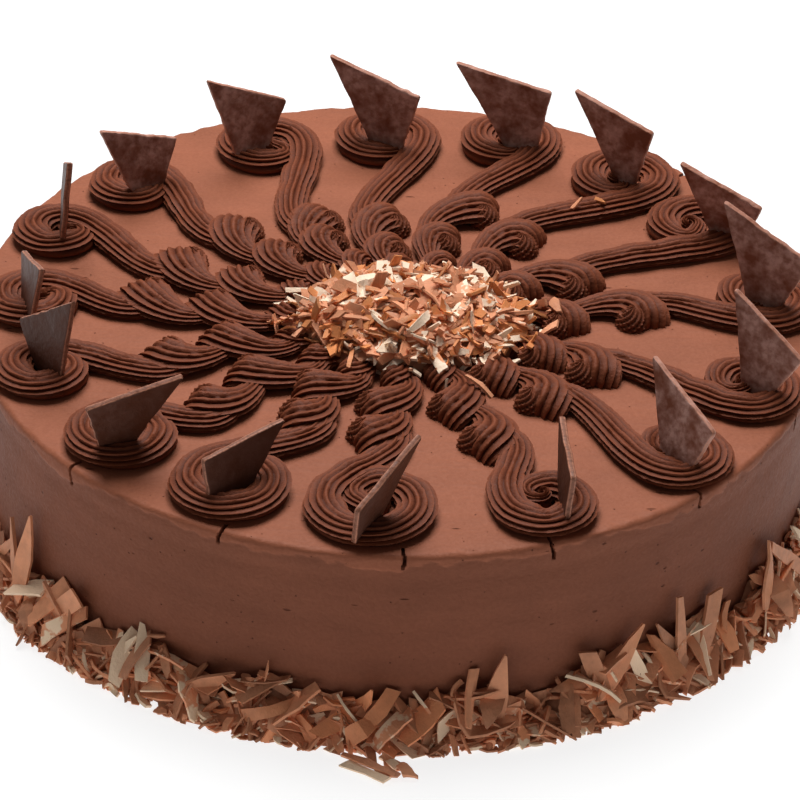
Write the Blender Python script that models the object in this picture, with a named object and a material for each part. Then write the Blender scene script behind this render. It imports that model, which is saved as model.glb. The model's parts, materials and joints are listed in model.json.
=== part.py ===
"""A round iced layer cake, whole: sixteen piped portions, chocolate triangles and shavings.

The origin is the middle of the cake's underside, +Z is up, and portion 10 faces -Y.
Portions are numbered clockwise seen from above, so portion 6 faces +X.
"""

import math
import random
from typing import NamedTuple

import bmesh
import bpy
from mathutils import Matrix, Vector

MM = 0.001
SEED = 28

# The cake.
CAKE_RADIUS = 140 * MM
CAKE_HEIGHT = 68 * MM
RIM_ROUNDING = 1.6 * MM
RIM_CORNER = 0.3
SHARP_ANGLE = math.radians(40)
CAKE_SIDES = 96
GAP = 0.3 * MM

# The piped portions. Places are given as a turn from the portion's middle and a reach.
PORTIONS = 16
FRONT_PORTION = 10
PIPING_CENTRE = Vector((0.0, -8 * MM))
SHELL_C_REACH = 37 * MM
SHELL_STEP = 11 * MM
SHELL_TAIL_REACH = 27 * MM
SHELL_WIDTH_A = 17 * MM
SHELL_WIDTH_B = 14 * MM
SHELL_WIDTH_C = 9 * MM
SHELL_HEIGHT = 8 * MM
SHELL_C_HEIGHT = 6.5 * MM
SHELL_BOW = 3.5 * MM
SHELL_TAIL_A = 3 * MM
SHELL_TAIL_B = 2 * MM
SHELL_NOSE_OUT = 0.38
SHELL_NOSE_RIGHT = 0.12
ROPE_WIDTH = 11.5 * MM
ROPE_HEIGHT = 5.5 * MM
ROPE_START_LEFT = 6 * MM
ROPE_START_BACK = 2 * MM
ROPE_SWING_OUT = 14 * MM
ROPE_SWING_LEFT = 7 * MM
ROPE_ARRIVAL = 18 * MM
ROPE_TAIL = 0.7
LOOP_WIDTH = 13.5 * MM
LOOP_HEIGHT = 6.5 * MM
LOOP_TURN = math.radians(258)
LOOP_CLOSING = 1.5 * MM
LOOP_END = 0.8
WHORL_HEIGHT = 7.5 * MM
WHORL_OVERLAP = 0.3
WHORL_SIDES = 8
RIDGED_POINTS = 7
PLAIN_POINTS = 5
GROOVE_DEPTH = 0.2

# The chocolate triangles: a right angle between a short and a long leg, corners snapped off.
SHARD_SHORT_LEG = 36 * MM
SHARD_LONG_LEG = 40 * MM
SHARD_THICKNESS = 2.6 * MM
SHARD_CORNER = 1.6 * MM
SHARD_CLEARANCE = 1.8 * MM
SLOT_CLEARANCE = 1.5 * MM
SLOT_CORNER_SHARE = 2
CUT_TOLERANCE = 1e-7

# The heap on top: a neck between the piping's tails and a wider cap above them.
HEAP_CENTRE = Vector((5 * MM, -13 * MM))
HEAP_NECK_CENTRE = Vector((1 * MM, -9 * MM))
HEAP_NECK_RADIUS = 24 * MM
HEAP_WIDE = 42 * MM
HEAP_DEEP = 30 * MM
HEAP_EAVES = 9.2 * MM
HEAP_HEIGHT = 15.5 * MM
HEAP_SIDES = 14
HEAP_CAP = ((0.92, 0.62), (0.8, 0.75), (0.4, 1.0))
HEAP_UNEVENNESS = 0.07
HEAP_FLAKE_SPREAD = 0.86
HEAP_FLAKES = 32
HEAP_FLAKE_LIFT = 0.4 * MM
HEAP_FLAKE_LENGTH = (10 * MM, 17 * MM)
HEAP_FLAKE_WIDTH = (3 * MM, 5.5 * MM)
HEAP_FLAKE_SWING = 0.2
HEAP_FLAKE_TILT = 0.9
HEAP_FLAKE_LEVELLING = 1.1
HEAP_FLAKE_ROLL = 0.3
GOLDEN_TURN = math.radians(137.5)

# The ring of shavings round the foot.
RING_SIDES = 56
RING_OUTER = 151 * MM
RING_LIMIT = 152 * MM
RING_FLAKES = 146
RING_WALL_GAP = 0.5 * MM
RING_TOPS = (7 * MM, 9 * MM, 10 * MM, 12 * MM, 14 * MM)
RING_FOOT_SHIFT = (-2.5 * MM, 0.8 * MM)
RING_SHOULDER = 1 * MM
RING_SHOULDER_RISE = 0.4
RING_CREST = 4 * MM
RING_FLAKE_REACH = (4.5 * MM, 7.5 * MM)
RING_FLAKE_WIDTH = (3.5 * MM, 6.5 * MM)
RING_FLAKE_TURN = 0.12
RING_FLAKE_SHIFT = 0.35
RING_LOWEST_FOOT = 0.6
FLAKE_THICKNESS = 1.2 * MM
FLAKE_NARROW_END = 0.6


class Portion(NamedTuple):
    """One hand-made portion's piping: turns in degrees, reaches and radii in millimetres."""

    curl_turn: float
    curl_reach: float
    loop: float
    shell_a_turn: float
    shell_a_reach: float
    shell_b_turn: float
    shell_b_reach: float


class Shard(NamedTuple):
    """One triangle: its foot and its depth under the icing in millimetres, its size as a
    share of the full legs, and its turn about the vertical, tilt and lean in degrees."""

    foot_x: float
    foot_y: float
    depth: float
    size: float
    turn: float
    tilt: float
    lean: float


class FlakeKind(NamedTuple):
    """A kind of shaving in the ring: its share, lengths and foot in millimetres, and roll."""

    share: float
    shortest: float
    longest: float
    highest_foot: float
    roll: float
    roll_spread: float


class Fallen(NamedTuple):
    """A shaving that lies level before the ring: its middle, length and width in millimetres
    and its turn about the vertical in degrees."""

    x: float
    y: float
    height: float
    length: float
    width: float
    turn: float


RING_KINDS = {
    "tall": FlakeKind(1, 26, 36, 2.5, 0, 0.35),
    "short": FlakeKind(5, 13, 25, 4, 0, 0.6),
    "lying": FlakeKind(4, 11, 19, 5, 1.5, 0.6),
}

HAND_PIPED = {
    1: Portion(1, 121, 12.5, 3, 67, 6, 54),
    2: Portion(3, 119, 13, 5, 62, 5, 43),
    3: Portion(5, 125, 12.5, 2, 76, 7, 52),
    4: Portion(6, 123, 13.5, 7, 67, 4, 45),
    5: Portion(10, 121, 13, 1, 65, 4, 44),
    6: Portion(8, 124, 12.5, 5, 81, 1, 55),
    7: Portion(5, 120, 12, -1, 70, -1, 52),
    8: Portion(5, 118, 11.5, 1, 67, -2, 47),
    9: Portion(2, 115, 11, 0, 78, -3, 57),
    10: Portion(-3, 109, 15, -5, 71, -5, 55),
    11: Portion(-4, 111, 13.5, -3, 69, -8, 52),
    12: Portion(-4, 113, 12.5, -2, 82, -7, 60),
    13: Portion(-4, 120, 10.5, -2, 80, -6, 59),
    14: Portion(-2, 121, 11, -6, 85, -3, 62),
    15: Portion(0, 126, 10, 0, 80, 2, 57),
    16: Portion(4, 123, 10.5, 2, 77, 3, 56),
}

HAND_SET = {
    1: Shard(-54, 94, 13, 0.95, 30, 25, 5),
    2: Shard(-4, 103, 12, 1.0, -20, 15, 0),
    3: Shard(45, 104, 11, 1.0, -15, 10, 0),
    4: Shard(80, 84, 7, 0.9, -30, 15, -5),
    5: Shard(114, 51, 13, 0.9, -25, 20, -10),
    6: Shard(121, 6, 12, 1.0, -25, 25, 0),
    7: Shard(114, -46, 11, 0.9, -35, 30, 5),
    8: Shard(87, -91, 15, 0.95, -50, 20, 10),
    9: Shard(52, -125, 17, 0.95, -85, 0, 5),
    10: Shard(-12, -129, 15, 0.95, -120, 20, 15),
    11: Shard(-54, -119, 17, 0.9, -140, 5, -5),
    12: Shard(-90, -88, 10, 0.9, -160, 15, 15),
    13: Shard(-110, -53, 16, 0.95, 130, 35, -5),
    14: Shard(-124, -12, 17, 0.95, 105, 20, -5),
    15: Shard(-116, 33, 12, 1.0, 95, 30, -5),
    16: Shard(-87, 67, 13, 0.9, 35, 20, 5),
}

# The first reaches back into the ring's bank, and the others cross it.
FALLEN = (
    Fallen(-4.5, -151.5, 1.2, 14, 4, -90),
    Fallen(-5, -160, 1.7, 17, 3.5, -30),
    Fallen(2.5, -159, 0.9, 15, 3, -38),
)


def material(name, colour, roughness):
    """A Principled material with one colour and one roughness."""
    made = bpy.data.materials.new(name)
    made.use_nodes = True
    shader = made.node_tree.nodes["Principled BSDF"]
    shader.inputs["Base Color"].default_value = (*colour, 1.0)
    shader.inputs["Roughness"].default_value = roughness
    return made


def add_object(name, mesh, finish):
    """A named object in the scene with its material."""
    mesh.materials.clear()
    mesh.materials.append(finish)
    made = bpy.data.objects.new(name, mesh)
    bpy.context.scene.collection.objects.link(made)
    return made


def mesh_from(points, faces, name):
    """A mesh with its faces turned outwards."""
    mesh = bpy.data.meshes.new(name)
    mesh.from_pydata([tuple(point) for point in points], [], faces)
    shell = bmesh.new()
    shell.from_mesh(mesh)
    bmesh.ops.recalc_face_normals(shell, faces=shell.faces)
    shell.to_mesh(mesh)
    shell.free()
    return mesh


def evaluated(target):
    """The object's mesh with its modifiers applied."""
    bpy.context.view_layer.update()
    graph = bpy.context.evaluated_depsgraph_get()
    return bpy.data.meshes.new_from_object(target.evaluated_get(graph))


def apply_boolean(target, operation, others):
    """Joins or cuts with a collection of objects, then removes them."""
    group = bpy.data.collections.new("fused")
    for other in others:
        group.objects.link(other)
    joined = target.modifiers.new("fuse", "BOOLEAN")
    joined.operation = operation
    joined.operand_type = "COLLECTION"
    joined.collection = group
    joined.solver = "EXACT"
    shape = evaluated(target)
    target.modifiers.clear()
    target.data = shape
    for other in others:
        bpy.data.objects.remove(other)
    bpy.data.collections.remove(group)


def drop_scraps(target):
    """Keeps the largest joined piece of a mesh and deletes loose scraps beside it."""
    shape = bmesh.new()
    shape.from_mesh(target.data)
    unseen = set(shape.verts)
    pieces = []
    while unseen:
        piece = [unseen.pop()]
        for vertex in piece:
            for edge in vertex.link_edges:
                other = edge.other_vert(vertex)
                if other in unseen:
                    unseen.remove(other)
                    piece.append(other)
        pieces.append(piece)
    pieces.sort(key=len)
    scraps = [vertex for piece in pieces[:-1] for vertex in piece]
    bmesh.ops.delete(shape, geom=scraps, context="VERTS")
    shape.to_mesh(target.data)
    shape.free()


def smooth_step(start, end, share):
    """Goes from start to end with no corner at either end, for a share from 0 to 1."""
    share = min(max(share, 0.0), 1.0)
    return start + (end - start) * share * share * (3 - 2 * share)


def arch(points):
    """A half round section: (across, up) pairs from one foot to the other, every other one
    drawn in as a groove where there are enough of them for ridges."""
    section = []
    for step in range(points):
        angle = math.pi * step / (points - 1)
        grooved = points >= RIDGED_POINTS and step % 2 == 0
        reach = 1.0 - GROOVE_DEPTH if grooved else 1.0
        section.append((math.cos(angle) * reach, math.sin(angle) * reach))
    return section


def sweep(path, widths, heights, section, floor, name):
    """Carries the section along a plan path, with a width and a height at each point."""
    points = []
    count = len(path)
    for index, here in enumerate(path):
        before = path[max(index - 1, 0)]
        after = path[min(index + 1, count - 1)]
        along = (after - before).normalized()
        side = Vector((-along.y, along.x))
        for across, up in section:
            place = here + side * across * widths[index] / 2
            points.append((place.x, place.y, floor + up * heights[index]))
    size = len(section)
    faces = [tuple(range(size)), tuple(range((count - 1) * size, count * size))]
    for ring in range(count - 1):
        for step in range(size):
            following = (step + 1) % size
            low = ring * size
            high = low + size
            faces.append((low + step, low + following, high + following, high + step))
    return mesh_from(points, faces, name)


def bezier(first, second, third, fourth, share):
    """A point of a cubic curve through first and fourth."""
    rest = 1 - share
    return (
        first * rest**3
        + second * 3 * rest**2 * share
        + third * 3 * rest * share**2
        + fourth * share**3
    )


def portion_axes(number):
    """A portion's outward direction and its leftward one, seen from above."""
    angle = math.radians(-90 + (FRONT_PORTION - number) * 360 / PORTIONS)
    outward = Vector((math.cos(angle), math.sin(angle)))
    return outward, Vector((-outward.y, outward.x))


def plan_place(number, turn, reach):
    """A plan point at a turn in degrees from a portion's middle and a reach."""
    outward, left = portion_axes(number)
    angle = math.radians(turn)
    return PIPING_CENTRE + (outward * math.cos(angle) + left * math.sin(angle)) * reach


def curl_centre(number):
    """The middle of a portion's curl."""
    made = HAND_PIPED[number]
    return plan_place(number, made.curl_turn, made.curl_reach * MM)


def shell_heads(number):
    """The plan places of a portion's three shell heads, from the outermost."""
    made = HAND_PIPED[number]
    head_a = plan_place(number, made.shell_a_turn, made.shell_a_reach * MM)
    head_b = plan_place(number, made.shell_b_turn, made.shell_b_reach * MM)
    reach_c = min(SHELL_C_REACH, made.shell_b_reach * MM - SHELL_STEP)
    return head_a, head_b, plan_place(number, 0, reach_c)


def rope_path(number):
    """The rope's middle line: an S from the first shell, then round the curl, leftwards."""
    outward, left = portion_axes(number)
    centre = curl_centre(number)
    loop = HAND_PIPED[number].loop * MM
    start = shell_heads(number)[0] + left * ROPE_START_LEFT - outward * ROPE_START_BACK
    entry = centre - left * loop
    swing = start + outward * ROPE_SWING_OUT + left * ROPE_SWING_LEFT
    arrival = entry - outward * ROPE_ARRIVAL
    bend_steps = 5
    loop_steps = 8
    path = [bezier(start, swing, arrival, entry, step / bend_steps) for step in range(bend_steps)]
    for step in range(loop_steps + 1):
        share = step / loop_steps
        angle = LOOP_TURN * share - math.pi / 2
        reach = loop - smooth_step(0, LOOP_CLOSING, share)
        path.append(centre + outward * math.cos(angle) * reach + left * math.sin(angle) * reach)
    return path, bend_steps


def rope(number, finish):
    """The rope of one portion as a swept ridged solid."""
    path, bend_steps = rope_path(number)
    widths = []
    heights = []
    for index in range(len(path)):
        share = index / bend_steps
        widths.append(smooth_step(ROPE_WIDTH, LOOP_WIDTH, share))
        heights.append(smooth_step(ROPE_HEIGHT, LOOP_HEIGHT, share))
    widths[0] *= ROPE_TAIL
    widths[-1] *= LOOP_END
    heights[-1] *= LOOP_END
    mesh = sweep(path, widths, heights, arch(RIDGED_POINTS), CAKE_HEIGHT + GAP, "rope")
    return add_object("rope", mesh, finish)


def stacked_rings(rows, name):
    """A closed solid through level rings of points, each ring with as many points."""
    points = [point for row in rows for point in row]
    size = len(rows[0])
    count = len(rows)
    faces = [tuple(range(size)), tuple(range((count - 1) * size, count * size))]
    for row in range(count - 1):
        for step in range(size):
            following = (step + 1) % size
            low = row * size
            high = low + size
            faces.append((low + step, low + following, high + following, high + step))
    return mesh_from(points, faces, name)


def level_ring(centre, wide, deep, height, sides, draw=None, spread=0.0):
    """Points round an ellipse at one height, each moved in or out by a random share."""
    ring = []
    for side in range(sides):
        angle = math.tau * side / sides
        share = 1.0 + (draw.uniform(-spread, spread) if draw else 0.0)
        across = math.cos(angle) * wide * share
        along = math.sin(angle) * deep * share
        ring.append((centre.x + across, centre.y + along, height))
    return ring


def whorl(number, finish):
    """The low dome where the rope ends inside its curl."""
    centre = curl_centre(number)
    reach = HAND_PIPED[number].loop * MM - LOOP_WIDTH * WHORL_OVERLAP
    floor = CAKE_HEIGHT + GAP
    rows = []
    for spread, rise in ((1.0, 0.0), (0.95, 0.65), (0.5, 1.0)):
        height = floor + rise * WHORL_HEIGHT
        rows.append(level_ring(centre, reach * spread, reach * spread, height, WHORL_SIDES))
    return add_object("whorl", stacked_rings(rows, "whorl"), finish)


def shell(number, tail, head, width, height, section_points, finish):
    """One piped shell: a narrow tail that leaves leftwards and a plump round head."""
    outward, left = portion_axes(number)
    end = head + outward * width * SHELL_NOSE_OUT - left * width * SHELL_NOSE_RIGHT
    bow = (tail + head) / 2 + left * SHELL_BOW
    spreads = (0.55, 0.7, 0.95, 1.0, 0.55)
    rises = (0.6, 0.75, 0.95, 1.0, 0.55)
    shares = (0.0, 0.3, 0.55, 0.8, 1.0)
    path = [bezier(tail, bow, head, end, share) for share in shares]
    widths = [width * spread for spread in spreads]
    heights = [height * rise for rise in rises]
    mesh = sweep(path, widths, heights, arch(section_points), CAKE_HEIGHT + GAP, "shell")
    return add_object("shell", mesh, finish)


def shard_outline(size):
    """The triangle's corners in its own plane, each snapped off, with the foot at the origin.

    The right angle is straight above the foot, the other upper corner a short leg to its left.
    """
    foot = Vector((0.0, 0.0))
    square = Vector((0.0, SHARD_LONG_LEG * size))
    sharp = Vector((-SHARD_SHORT_LEG * size, SHARD_LONG_LEG * size))
    corners = (foot, square, sharp)
    outline = []
    for index, corner in enumerate(corners):
        before = (corners[index - 1] - corner).normalized()
        after = (corners[(index + 1) % 3] - corner).normalized()
        outline.append(corner + before * SHARD_CORNER)
        outline.append(corner + after * SHARD_CORNER)
    return outline


def shard_frame(number):
    """The turned frame of one triangle, with its foot below the cake's top."""
    made = HAND_SET[number]
    foot = Vector((made.foot_x * MM, made.foot_y * MM, CAKE_HEIGHT - made.depth * MM))
    return (
        Matrix.Translation(foot)
        @ Matrix.Rotation(math.radians(made.turn), 4, "Z")
        @ Matrix.Rotation(-math.radians(made.lean), 4, "X")
        @ Matrix.Rotation(math.radians(made.tilt), 4, "Y")
    )


def shard_block(number, grown, floor, name, finish):
    """A triangle as a plate, grown by a clearance and cut level at a floor."""
    outline = shard_outline(HAND_SET[number].size)
    middle = sum(outline, Vector((0.0, 0.0))) / len(outline)
    frame = shard_frame(number)
    half = SHARD_THICKNESS / 2 + grown
    rows = []
    for side in (-half, half):
        row = []
        for corner in outline:
            place = corner + (corner - middle).normalized() * grown * SLOT_CORNER_SHARE
            row.append(frame @ Vector((place.x, side, place.y)))
        rows.append(row)
    mesh = stacked_rings(rows, name)
    cut = bmesh.new()
    cut.from_mesh(mesh)
    bmesh.ops.bisect_plane(
        cut,
        geom=cut.verts[:] + cut.edges[:] + cut.faces[:],
        dist=CUT_TOLERANCE,
        plane_co=(0, 0, floor),
        plane_no=(0, 0, -1),
        clear_outer=True,
    )
    open_edges = [edge for edge in cut.edges if edge.is_boundary]
    bmesh.ops.contextual_create(cut, geom=open_edges)
    bmesh.ops.recalc_face_normals(cut, faces=cut.faces)
    cut.to_mesh(mesh)
    cut.free()
    return add_object(name, mesh, finish)


def flake_points(length, width):
    """One shaving about its own middle: a thin slab, narrower at one end."""
    points = []
    for share, narrow in ((-0.5, 1.0), (0.5, FLAKE_NARROW_END)):
        half = width * narrow / 2
        for across, up in ((-half, -0.5), (half, -0.5), (half, 0.5), (-half, 0.5)):
            points.append(Vector((share * length, across, up * FLAKE_THICKNESS)))
    return points


def flake(points, finish):
    """A shaving's solid from its eight corners."""
    return add_object("flake", stacked_rings([points[:4], points[4:]], "flake"), finish)


def cake(finish):
    """The iced cake, turned round the vertical axis."""
    corner = RIM_CORNER * RIM_ROUNDING
    profile = (
        (CAKE_RADIUS, 0.0),
        (CAKE_RADIUS, CAKE_HEIGHT - RIM_ROUNDING),
        (CAKE_RADIUS - corner, CAKE_HEIGHT - corner),
        (CAKE_RADIUS - RIM_ROUNDING, CAKE_HEIGHT),
    )
    middle = Vector((0.0, 0.0))
    rows = [level_ring(middle, radius, radius, height, CAKE_SIDES) for radius, height in profile]
    made = add_object("iced_cake", stacked_rings(rows, "iced_cake"), finish)
    made.data.shade_smooth()
    made.data.set_sharp_from_angle(angle=SHARP_ANGLE)
    return made


def scroll(number, finish):
    """All the piping of one portion in one solid, with a slot for its triangle."""
    _, left = portion_axes(number)
    head_a, head_b, head_c = shell_heads(number)
    tail_a = head_b + left * SHELL_TAIL_A
    tail_b = head_c + left * SHELL_TAIL_B
    tail_c = plan_place(number, 0, SHELL_TAIL_REACH)
    body = rope(number, finish)
    body.name = f"piped_scroll_{number:02d}"
    parts = [
        whorl(number, finish),
        shell(number, tail_a, head_a, SHELL_WIDTH_A, SHELL_HEIGHT, RIDGED_POINTS, finish),
        shell(number, tail_b, head_b, SHELL_WIDTH_B, SHELL_HEIGHT, PLAIN_POINTS, finish),
        shell(number, tail_c, head_c, SHELL_WIDTH_C, SHELL_C_HEIGHT, PLAIN_POINTS, finish),
    ]
    apply_boolean(body, "UNION", parts)
    slot = shard_block(number, GAP, CAKE_HEIGHT + SLOT_CLEARANCE, "slot", finish)
    apply_boolean(body, "DIFFERENCE", [slot])
    drop_scraps(body)
    return body


def shard(number, finish):
    """One chocolate triangle standing in its curl."""
    name = f"chocolate_shard_{number:02d}"
    return shard_block(number, 0.0, CAKE_HEIGHT + SHARD_CLEARANCE, name, finish)


def heap_surface(share):
    """The height of the heap's cap at a share of its spread."""
    for (outer, low), (inner, high) in zip(HEAP_CAP, HEAP_CAP[1:]):
        if share > inner:
            return HEAP_HEIGHT * (low + (high - low) * (outer - share) / (outer - inner))
    return HEAP_HEIGHT


def top_heap(finish):
    """The heap of shavings in the middle: an uneven core with flakes fused on."""
    draw = random.Random(SEED)
    floor = CAKE_HEIGHT + GAP
    neck = HEAP_NECK_RADIUS
    rows = [
        level_ring(HEAP_NECK_CENTRE, neck, neck, floor, HEAP_SIDES),
        level_ring(HEAP_NECK_CENTRE, neck, neck, floor + HEAP_EAVES, HEAP_SIDES),
    ]
    for spread, rise in HEAP_CAP:
        wide = HEAP_WIDE * spread
        deep = HEAP_DEEP * spread
        height = floor + HEAP_HEIGHT * rise
        rows.append(level_ring(HEAP_CENTRE, wide, deep, height, HEAP_SIDES, draw, HEAP_UNEVENNESS))
    body = add_object("top_shavings", stacked_rings(rows, "top_shavings"), finish)
    flakes = []
    for index in range(HEAP_FLAKES):
        angle = index * GOLDEN_TURN + draw.uniform(-HEAP_FLAKE_SWING, HEAP_FLAKE_SWING)
        share = HEAP_FLAKE_SPREAD * math.sqrt((index + 0.5) / HEAP_FLAKES)
        across = math.cos(angle) * HEAP_WIDE * share
        along = math.sin(angle) * HEAP_DEEP * share
        height = floor + heap_surface(share) + HEAP_FLAKE_LIFT
        place = Vector((HEAP_CENTRE.x + across, HEAP_CENTRE.y + along, height))
        tilt = draw.uniform(-HEAP_FLAKE_TILT, HEAP_FLAKE_TILT) * (HEAP_FLAKE_LEVELLING - share)
        frame = (
            Matrix.Rotation(draw.uniform(0, math.tau), 3, "Z")
            @ Matrix.Rotation(tilt, 3, "Y")
            @ Matrix.Rotation(draw.uniform(-HEAP_FLAKE_ROLL, HEAP_FLAKE_ROLL), 3, "X")
        )
        points = flake_points(draw.uniform(*HEAP_FLAKE_LENGTH), draw.uniform(*HEAP_FLAKE_WIDTH))
        flakes.append(flake([place + frame @ point for point in points], finish))
    apply_boolean(body, "UNION", flakes)
    drop_scraps(body)
    return body


def ring_flake(angle, draw, finish):
    """One shaving of the ring, tall or short against the cake's side, or lying on the bank."""
    kind = draw.choices(tuple(RING_KINDS), weights=[row.share for row in RING_KINDS.values()])[0]
    row = RING_KINDS[kind]
    length = draw.uniform(row.shortest, row.longest) * MM
    steep = math.acos(min(1.0, draw.uniform(*RING_FLAKE_REACH) / length))
    frame = (
        Matrix.Rotation(angle + draw.uniform(-RING_FLAKE_TURN, RING_FLAKE_TURN), 3, "Z")
        @ Matrix.Rotation(steep, 3, "Y")
        @ Matrix.Rotation(row.roll + draw.uniform(-row.roll_spread, row.roll_spread), 3, "Z")
    )
    outward = Vector((math.cos(angle), math.sin(angle), 0.0))
    corners = flake_points(length, draw.uniform(*RING_FLAKE_WIDTH))
    points = [frame @ corner + outward * RING_LIMIT for corner in corners]
    if kind == "lying":
        inward = max(point.xy.length for point in points) - RING_LIMIT
    else:
        inward = min(point.xy.length for point in points) - CAKE_RADIUS - 2 * RING_WALL_GAP
    foot = draw.uniform(RING_LOWEST_FOOT, row.highest_foot) * MM
    shift = Vector((0.0, 0.0, foot - min(point.z for point in points))) - outward * inward
    return flake([point + shift for point in points], finish)


def fallen_flake(place, finish):
    """One of the shavings that lie level before the ring."""
    middle = Vector((place.x * MM, place.y * MM, place.height * MM))
    turned = Matrix.Rotation(math.radians(place.turn), 3, "Z")
    corners = flake_points(place.length * MM, place.width * MM)
    return flake([middle + turned @ corner for corner in corners], finish)


def foot_ring(finish):
    """The ring of shavings round the foot: an uneven bank with flakes leaning on it."""
    draw = random.Random(SEED + 1)
    inner_here = (CAKE_RADIUS + RING_WALL_GAP) / math.cos(math.pi / RING_SIDES)
    points = []
    for side in range(RING_SIDES):
        angle = math.tau * side / RING_SIDES
        outward = Vector((math.cos(angle), math.sin(angle), 0.0))
        outer = RING_OUTER + draw.uniform(*RING_FOOT_SHIFT)
        top = draw.choice(RING_TOPS)
        profile = (
            (inner_here, 0.0),
            (outer, 0.0),
            (outer - RING_SHOULDER, RING_SHOULDER_RISE * top),
            (inner_here + RING_CREST, top),
            (inner_here, top),
        )
        for radius, height in profile:
            points.append(outward * radius + Vector((0, 0, height)))
    size = len(profile)
    faces = []
    for side in range(RING_SIDES):
        following = (side + 1) % RING_SIDES
        for step in range(size):
            after = (step + 1) % size
            near = side * size
            far = following * size
            faces.append((near + step, near + after, far + after, far + step))
    body = add_object("base_shavings", mesh_from(points, faces, "base_shavings"), finish)
    flakes = []
    for index in range(RING_FLAKES):
        shift = draw.uniform(-RING_FLAKE_SHIFT, RING_FLAKE_SHIFT)
        angle = math.tau * (index + shift) / RING_FLAKES
        flakes.append(ring_flake(angle, draw, finish))
    flakes.extend(fallen_flake(place, finish) for place in FALLEN)
    apply_boolean(body, "UNION", flakes)
    drop_scraps(body)
    return body


def main():
    for old in list(bpy.data.objects):
        bpy.data.objects.remove(old)
    icing = material("buttercream", (0.352, 0.115, 0.062), 0.6)
    piping = material("piped_buttercream", (0.12, 0.036, 0.019), 0.45)
    chocolate = material("dark_chocolate", (0.17, 0.058, 0.034), 0.4)
    shavings = material("milk_chocolate_shavings", (0.44, 0.18, 0.095), 0.5)
    cake(icing)
    for number in range(1, PORTIONS + 1):
        scroll(number, piping)
        shard(number, chocolate)
    top_heap(shavings)
    foot_ring(shavings)


main()
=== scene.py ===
"""The looks of an iced layer cake: smooth buttercream, piped scrolls, chocolate and shavings.

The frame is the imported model, in metres, with +Z up and the middle of the underside at the
origin. Every piece is computed on numpy arrays in that frame and rides on the body "root".
"""

import json
import math
from typing import NamedTuple

import bmesh
import bpy
import numpy as np
from mathutils import Matrix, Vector
from mathutils.bvhtree import BVHTree

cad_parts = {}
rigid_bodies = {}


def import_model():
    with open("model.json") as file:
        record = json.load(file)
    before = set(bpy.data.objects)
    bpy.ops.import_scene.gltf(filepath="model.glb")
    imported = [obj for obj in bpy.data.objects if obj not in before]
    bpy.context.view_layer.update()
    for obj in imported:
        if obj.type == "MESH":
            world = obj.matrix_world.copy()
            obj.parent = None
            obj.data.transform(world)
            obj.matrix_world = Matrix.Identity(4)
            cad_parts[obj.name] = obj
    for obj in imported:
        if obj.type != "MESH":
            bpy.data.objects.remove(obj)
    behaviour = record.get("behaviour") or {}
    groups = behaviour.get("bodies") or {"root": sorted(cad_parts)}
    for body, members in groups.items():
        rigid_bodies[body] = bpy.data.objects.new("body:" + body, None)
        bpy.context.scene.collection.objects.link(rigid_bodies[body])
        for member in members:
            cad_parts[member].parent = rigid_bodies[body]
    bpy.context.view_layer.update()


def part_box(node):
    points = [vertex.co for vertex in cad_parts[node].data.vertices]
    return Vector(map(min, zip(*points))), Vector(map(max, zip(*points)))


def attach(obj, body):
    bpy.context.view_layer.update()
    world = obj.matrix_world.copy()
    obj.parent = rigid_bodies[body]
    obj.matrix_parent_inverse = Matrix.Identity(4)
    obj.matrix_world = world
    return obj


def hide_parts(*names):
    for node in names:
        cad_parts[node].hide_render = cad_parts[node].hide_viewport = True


bl_info = {
    "name": "Iced layer cake",
    "version": (1, 0, 0),
    "blender": (4, 5, 0),
    "location": "3D View > Sidebar > Cake",
    "description": "Builds the finished pieces of a piped layer cake round its packed model",
    "category": "Object",
}

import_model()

MM = 0.001
cake_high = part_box("iced_cake")[1]
CAKE_RADIUS = cake_high.x
CAKE_TOP = cake_high.z
PORTIONS = 16
FRONT_PORTION = 10
PIPING_CENTRE = np.array([0.0, -8 * MM])


# The places of the parts listed one by one, as the CAD source has them.


class Portion(NamedTuple):
    """One portion's piping: turns in degrees, reaches and radii in millimetres."""

    curl_turn: float
    curl_reach: float
    loop: float
    shell_a_turn: float
    shell_a_reach: float
    shell_b_turn: float
    shell_b_reach: float


class Shard(NamedTuple):
    """One triangle's foot and depth in millimetres, its size, turn, tilt and lean."""

    foot_x: float
    foot_y: float
    depth: float
    size: float
    turn: float
    tilt: float
    lean: float


HAND_PIPED = {
    1: Portion(1, 121, 12.5, 3, 67, 6, 54),
    2: Portion(3, 119, 13, 5, 62, 5, 43),
    3: Portion(5, 125, 12.5, 2, 76, 7, 52),
    4: Portion(6, 123, 13.5, 7, 67, 4, 45),
    5: Portion(10, 121, 13, 1, 65, 4, 44),
    6: Portion(8, 124, 12.5, 5, 81, 1, 55),
    7: Portion(5, 120, 12, -1, 70, -1, 52),
    8: Portion(5, 118, 11.5, 1, 67, -2, 47),
    9: Portion(2, 115, 11, 0, 78, -3, 57),
    10: Portion(-3, 109, 15, -5, 71, -5, 55),
    11: Portion(-4, 111, 13.5, -3, 69, -8, 52),
    12: Portion(-4, 113, 12.5, -2, 82, -7, 60),
    13: Portion(-4, 120, 10.5, -2, 80, -6, 59),
    14: Portion(-2, 121, 11, -6, 85, -3, 62),
    15: Portion(0, 126, 10, 0, 80, 2, 57),
    16: Portion(4, 123, 10.5, 2, 77, 3, 56),
}

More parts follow.
